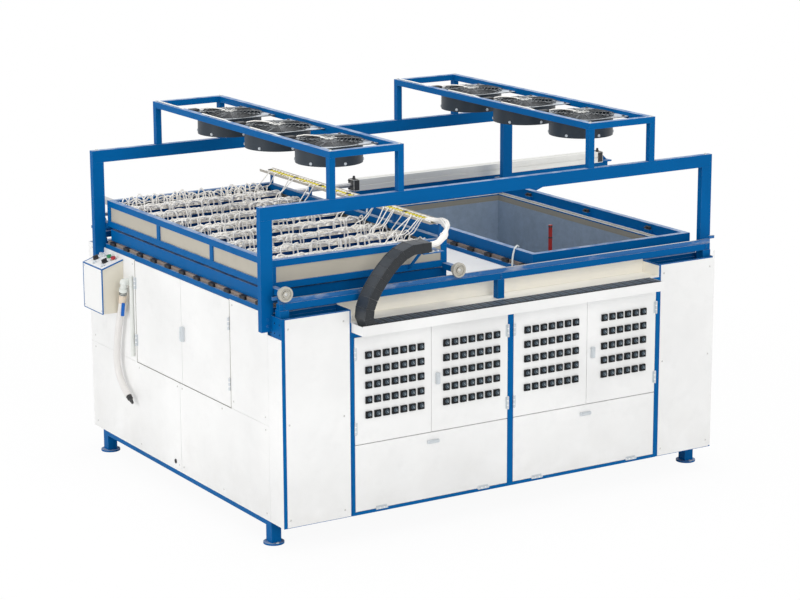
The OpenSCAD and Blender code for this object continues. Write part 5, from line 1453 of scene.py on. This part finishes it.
class FORMER_OT_stage(bpy.types.Operator):
    """Sets the floor, the light and the camera"""
    bl_idname = "former.stage"
    bl_label = "Stage, light and camera"

    def floor_finish(self, colour):
        """A floor that takes shadows near the machine and turns white further away."""
        f = Finish("Studio floor", Base_Color=(*colour, 1), Roughness=0.8, Specular_IOR_Level=0.1)
        away = f.node("ShaderNodeVectorMath", {"operation": "LENGTH"}, f.where, out="Value")
        fade = f.node("ShaderNodeMapRange", {}, away, *FLOOR_FADE)
        f.surface("Material Output", f.seen_by("Camera", "Glossy") * fade, Field(f, f.shader.outputs[0]),
                  f.node("ShaderNodeEmission", {}))
        return f.material

    def sky(self, strength):
        """Even light all round, with white behind the machine."""
        world = bpy.data.worlds.new("Studio")
        bpy.context.scene.world = world
        world.use_nodes = True
        nodes = Nodes(world.node_tree)
        even, white = [nodes.node("ShaderNodeBackground", {}, (1, 1, 1, 1), k) for k in (strength, 1.0)]
        nodes.surface("World Output", nodes.seen_by("Camera", "Glossy", "Transmission"), even, white)

    def lamp(self, name, place, target, size, power):
        """A round area light that points at target."""
        light = bpy.data.lights.new(name, "AREA")
        light.shape = "DISK"
        light.size = size
        light.energy = power
        lamp = bpy.data.objects.new(name, light)
        place, target = Vector(place), Vector(target)
        turn = (target - place).to_track_quat("-Z", "Y")
        lamp.matrix_world = Matrix.Translation(place) @ turn.to_matrix().to_4x4()
        bpy.context.scene.collection.objects.link(lamp)

    def execute(self, context):
        stage = context.scene.former_stage
        mesh = bpy.data.meshes.new("floor")
        mesh.from_pydata([(-40, -40, 0), (40, -40, 0), (40, 40, 0), (-40, 40, 0)], [], [(0, 1, 2, 3)])
        mesh.materials.append(self.floor_finish(stage.floor))
        floor = bpy.data.objects.new("floor", mesh)
        context.scene.collection.objects.link(floor)
        self.sky(stage.sky)
        self.lamp("Key", (-1.5, -9.5, 4.4), (0, 0, 0.8), 6.0, stage.key_power)
        self.lamp("Fill", (-9.0, -0.5, 3.6), (0, 0, 0.8), 5.0, stage.key_power * 0.85)
        self.lamp("Top", (0.5, 0.5, 8.0), (0, 0, 1.0), 5.0, stage.key_power * 0.9)
        data = bpy.data.cameras.new("Camera")
        data.lens = CAMERA_LENS
        data.sensor_width = 36.0
        data.clip_end = 200.0
        camera = bpy.data.objects.new("Camera", data)
        right, up, back = CAMERA_AXES
        turn = Matrix((right, up, back)).transposed()
        camera.matrix_world = Matrix.Translation(at(*CAMERA_PLACE)) @ turn.to_4x4()
        context.scene.collection.objects.link(camera)
        context.scene.camera = camera
        context.scene.view_settings.view_transform = "Standard"
        return {"FINISHED"}


OPERATORS = (FORMER_OT_stage, FORMER_OT_hose, FORMER_OT_finishes, FORMER_OT_switches,
             FORMER_OT_door_fittings, FORMER_OT_screws, FORMER_OT_fans, FORMER_OT_oven_wiring,
             FORMER_OT_terminals, FORMER_OT_drag_chain, FORMER_OT_wheels, FORMER_OT_stations,
             FORMER_OT_cylinder, FORMER_OT_controls)
SETTINGS = {"former_colours": FormerColours, "former_wiring": FormerWiring, "former_fans": FormerFans,
            "former_stage": FormerStage}


class FORMER_PT_panel(bpy.types.Panel):
    """Lists the machine's settings and pieces."""
    bl_label = "Vacuum former"
    bl_idname = "FORMER_PT_panel"
    bl_space_type = "VIEW_3D"
    bl_region_type = "UI"
    bl_category = "Former"

    def draw(self, context):
        for name, group in SETTINGS.items():
            settings = getattr(context.scene, name)
            for key in group.__annotations__:
                self.layout.prop(settings, key)
        for operator in OPERATORS:
            self.layout.operator(operator.bl_idname)


def register():
    for group in (*SETTINGS.values(), *OPERATORS, FORMER_PT_panel):
        bpy.utils.register_class(group)
    for name, group in SETTINGS.items():
        setattr(bpy.types.Scene, name, bpy.props.PointerProperty(type=group))


def unregister():
    for name in SETTINGS:
        delattr(bpy.types.Scene, name)
    for group in reversed((*SETTINGS.values(), *OPERATORS, FORMER_PT_panel)):
        bpy.utils.unregister_class(group)


def main():
    register()
    for operator in OPERATORS:
        getattr(bpy.ops.former, operator.bl_idname.split(".")[1])()


if __name__ == "__main__":
    main()
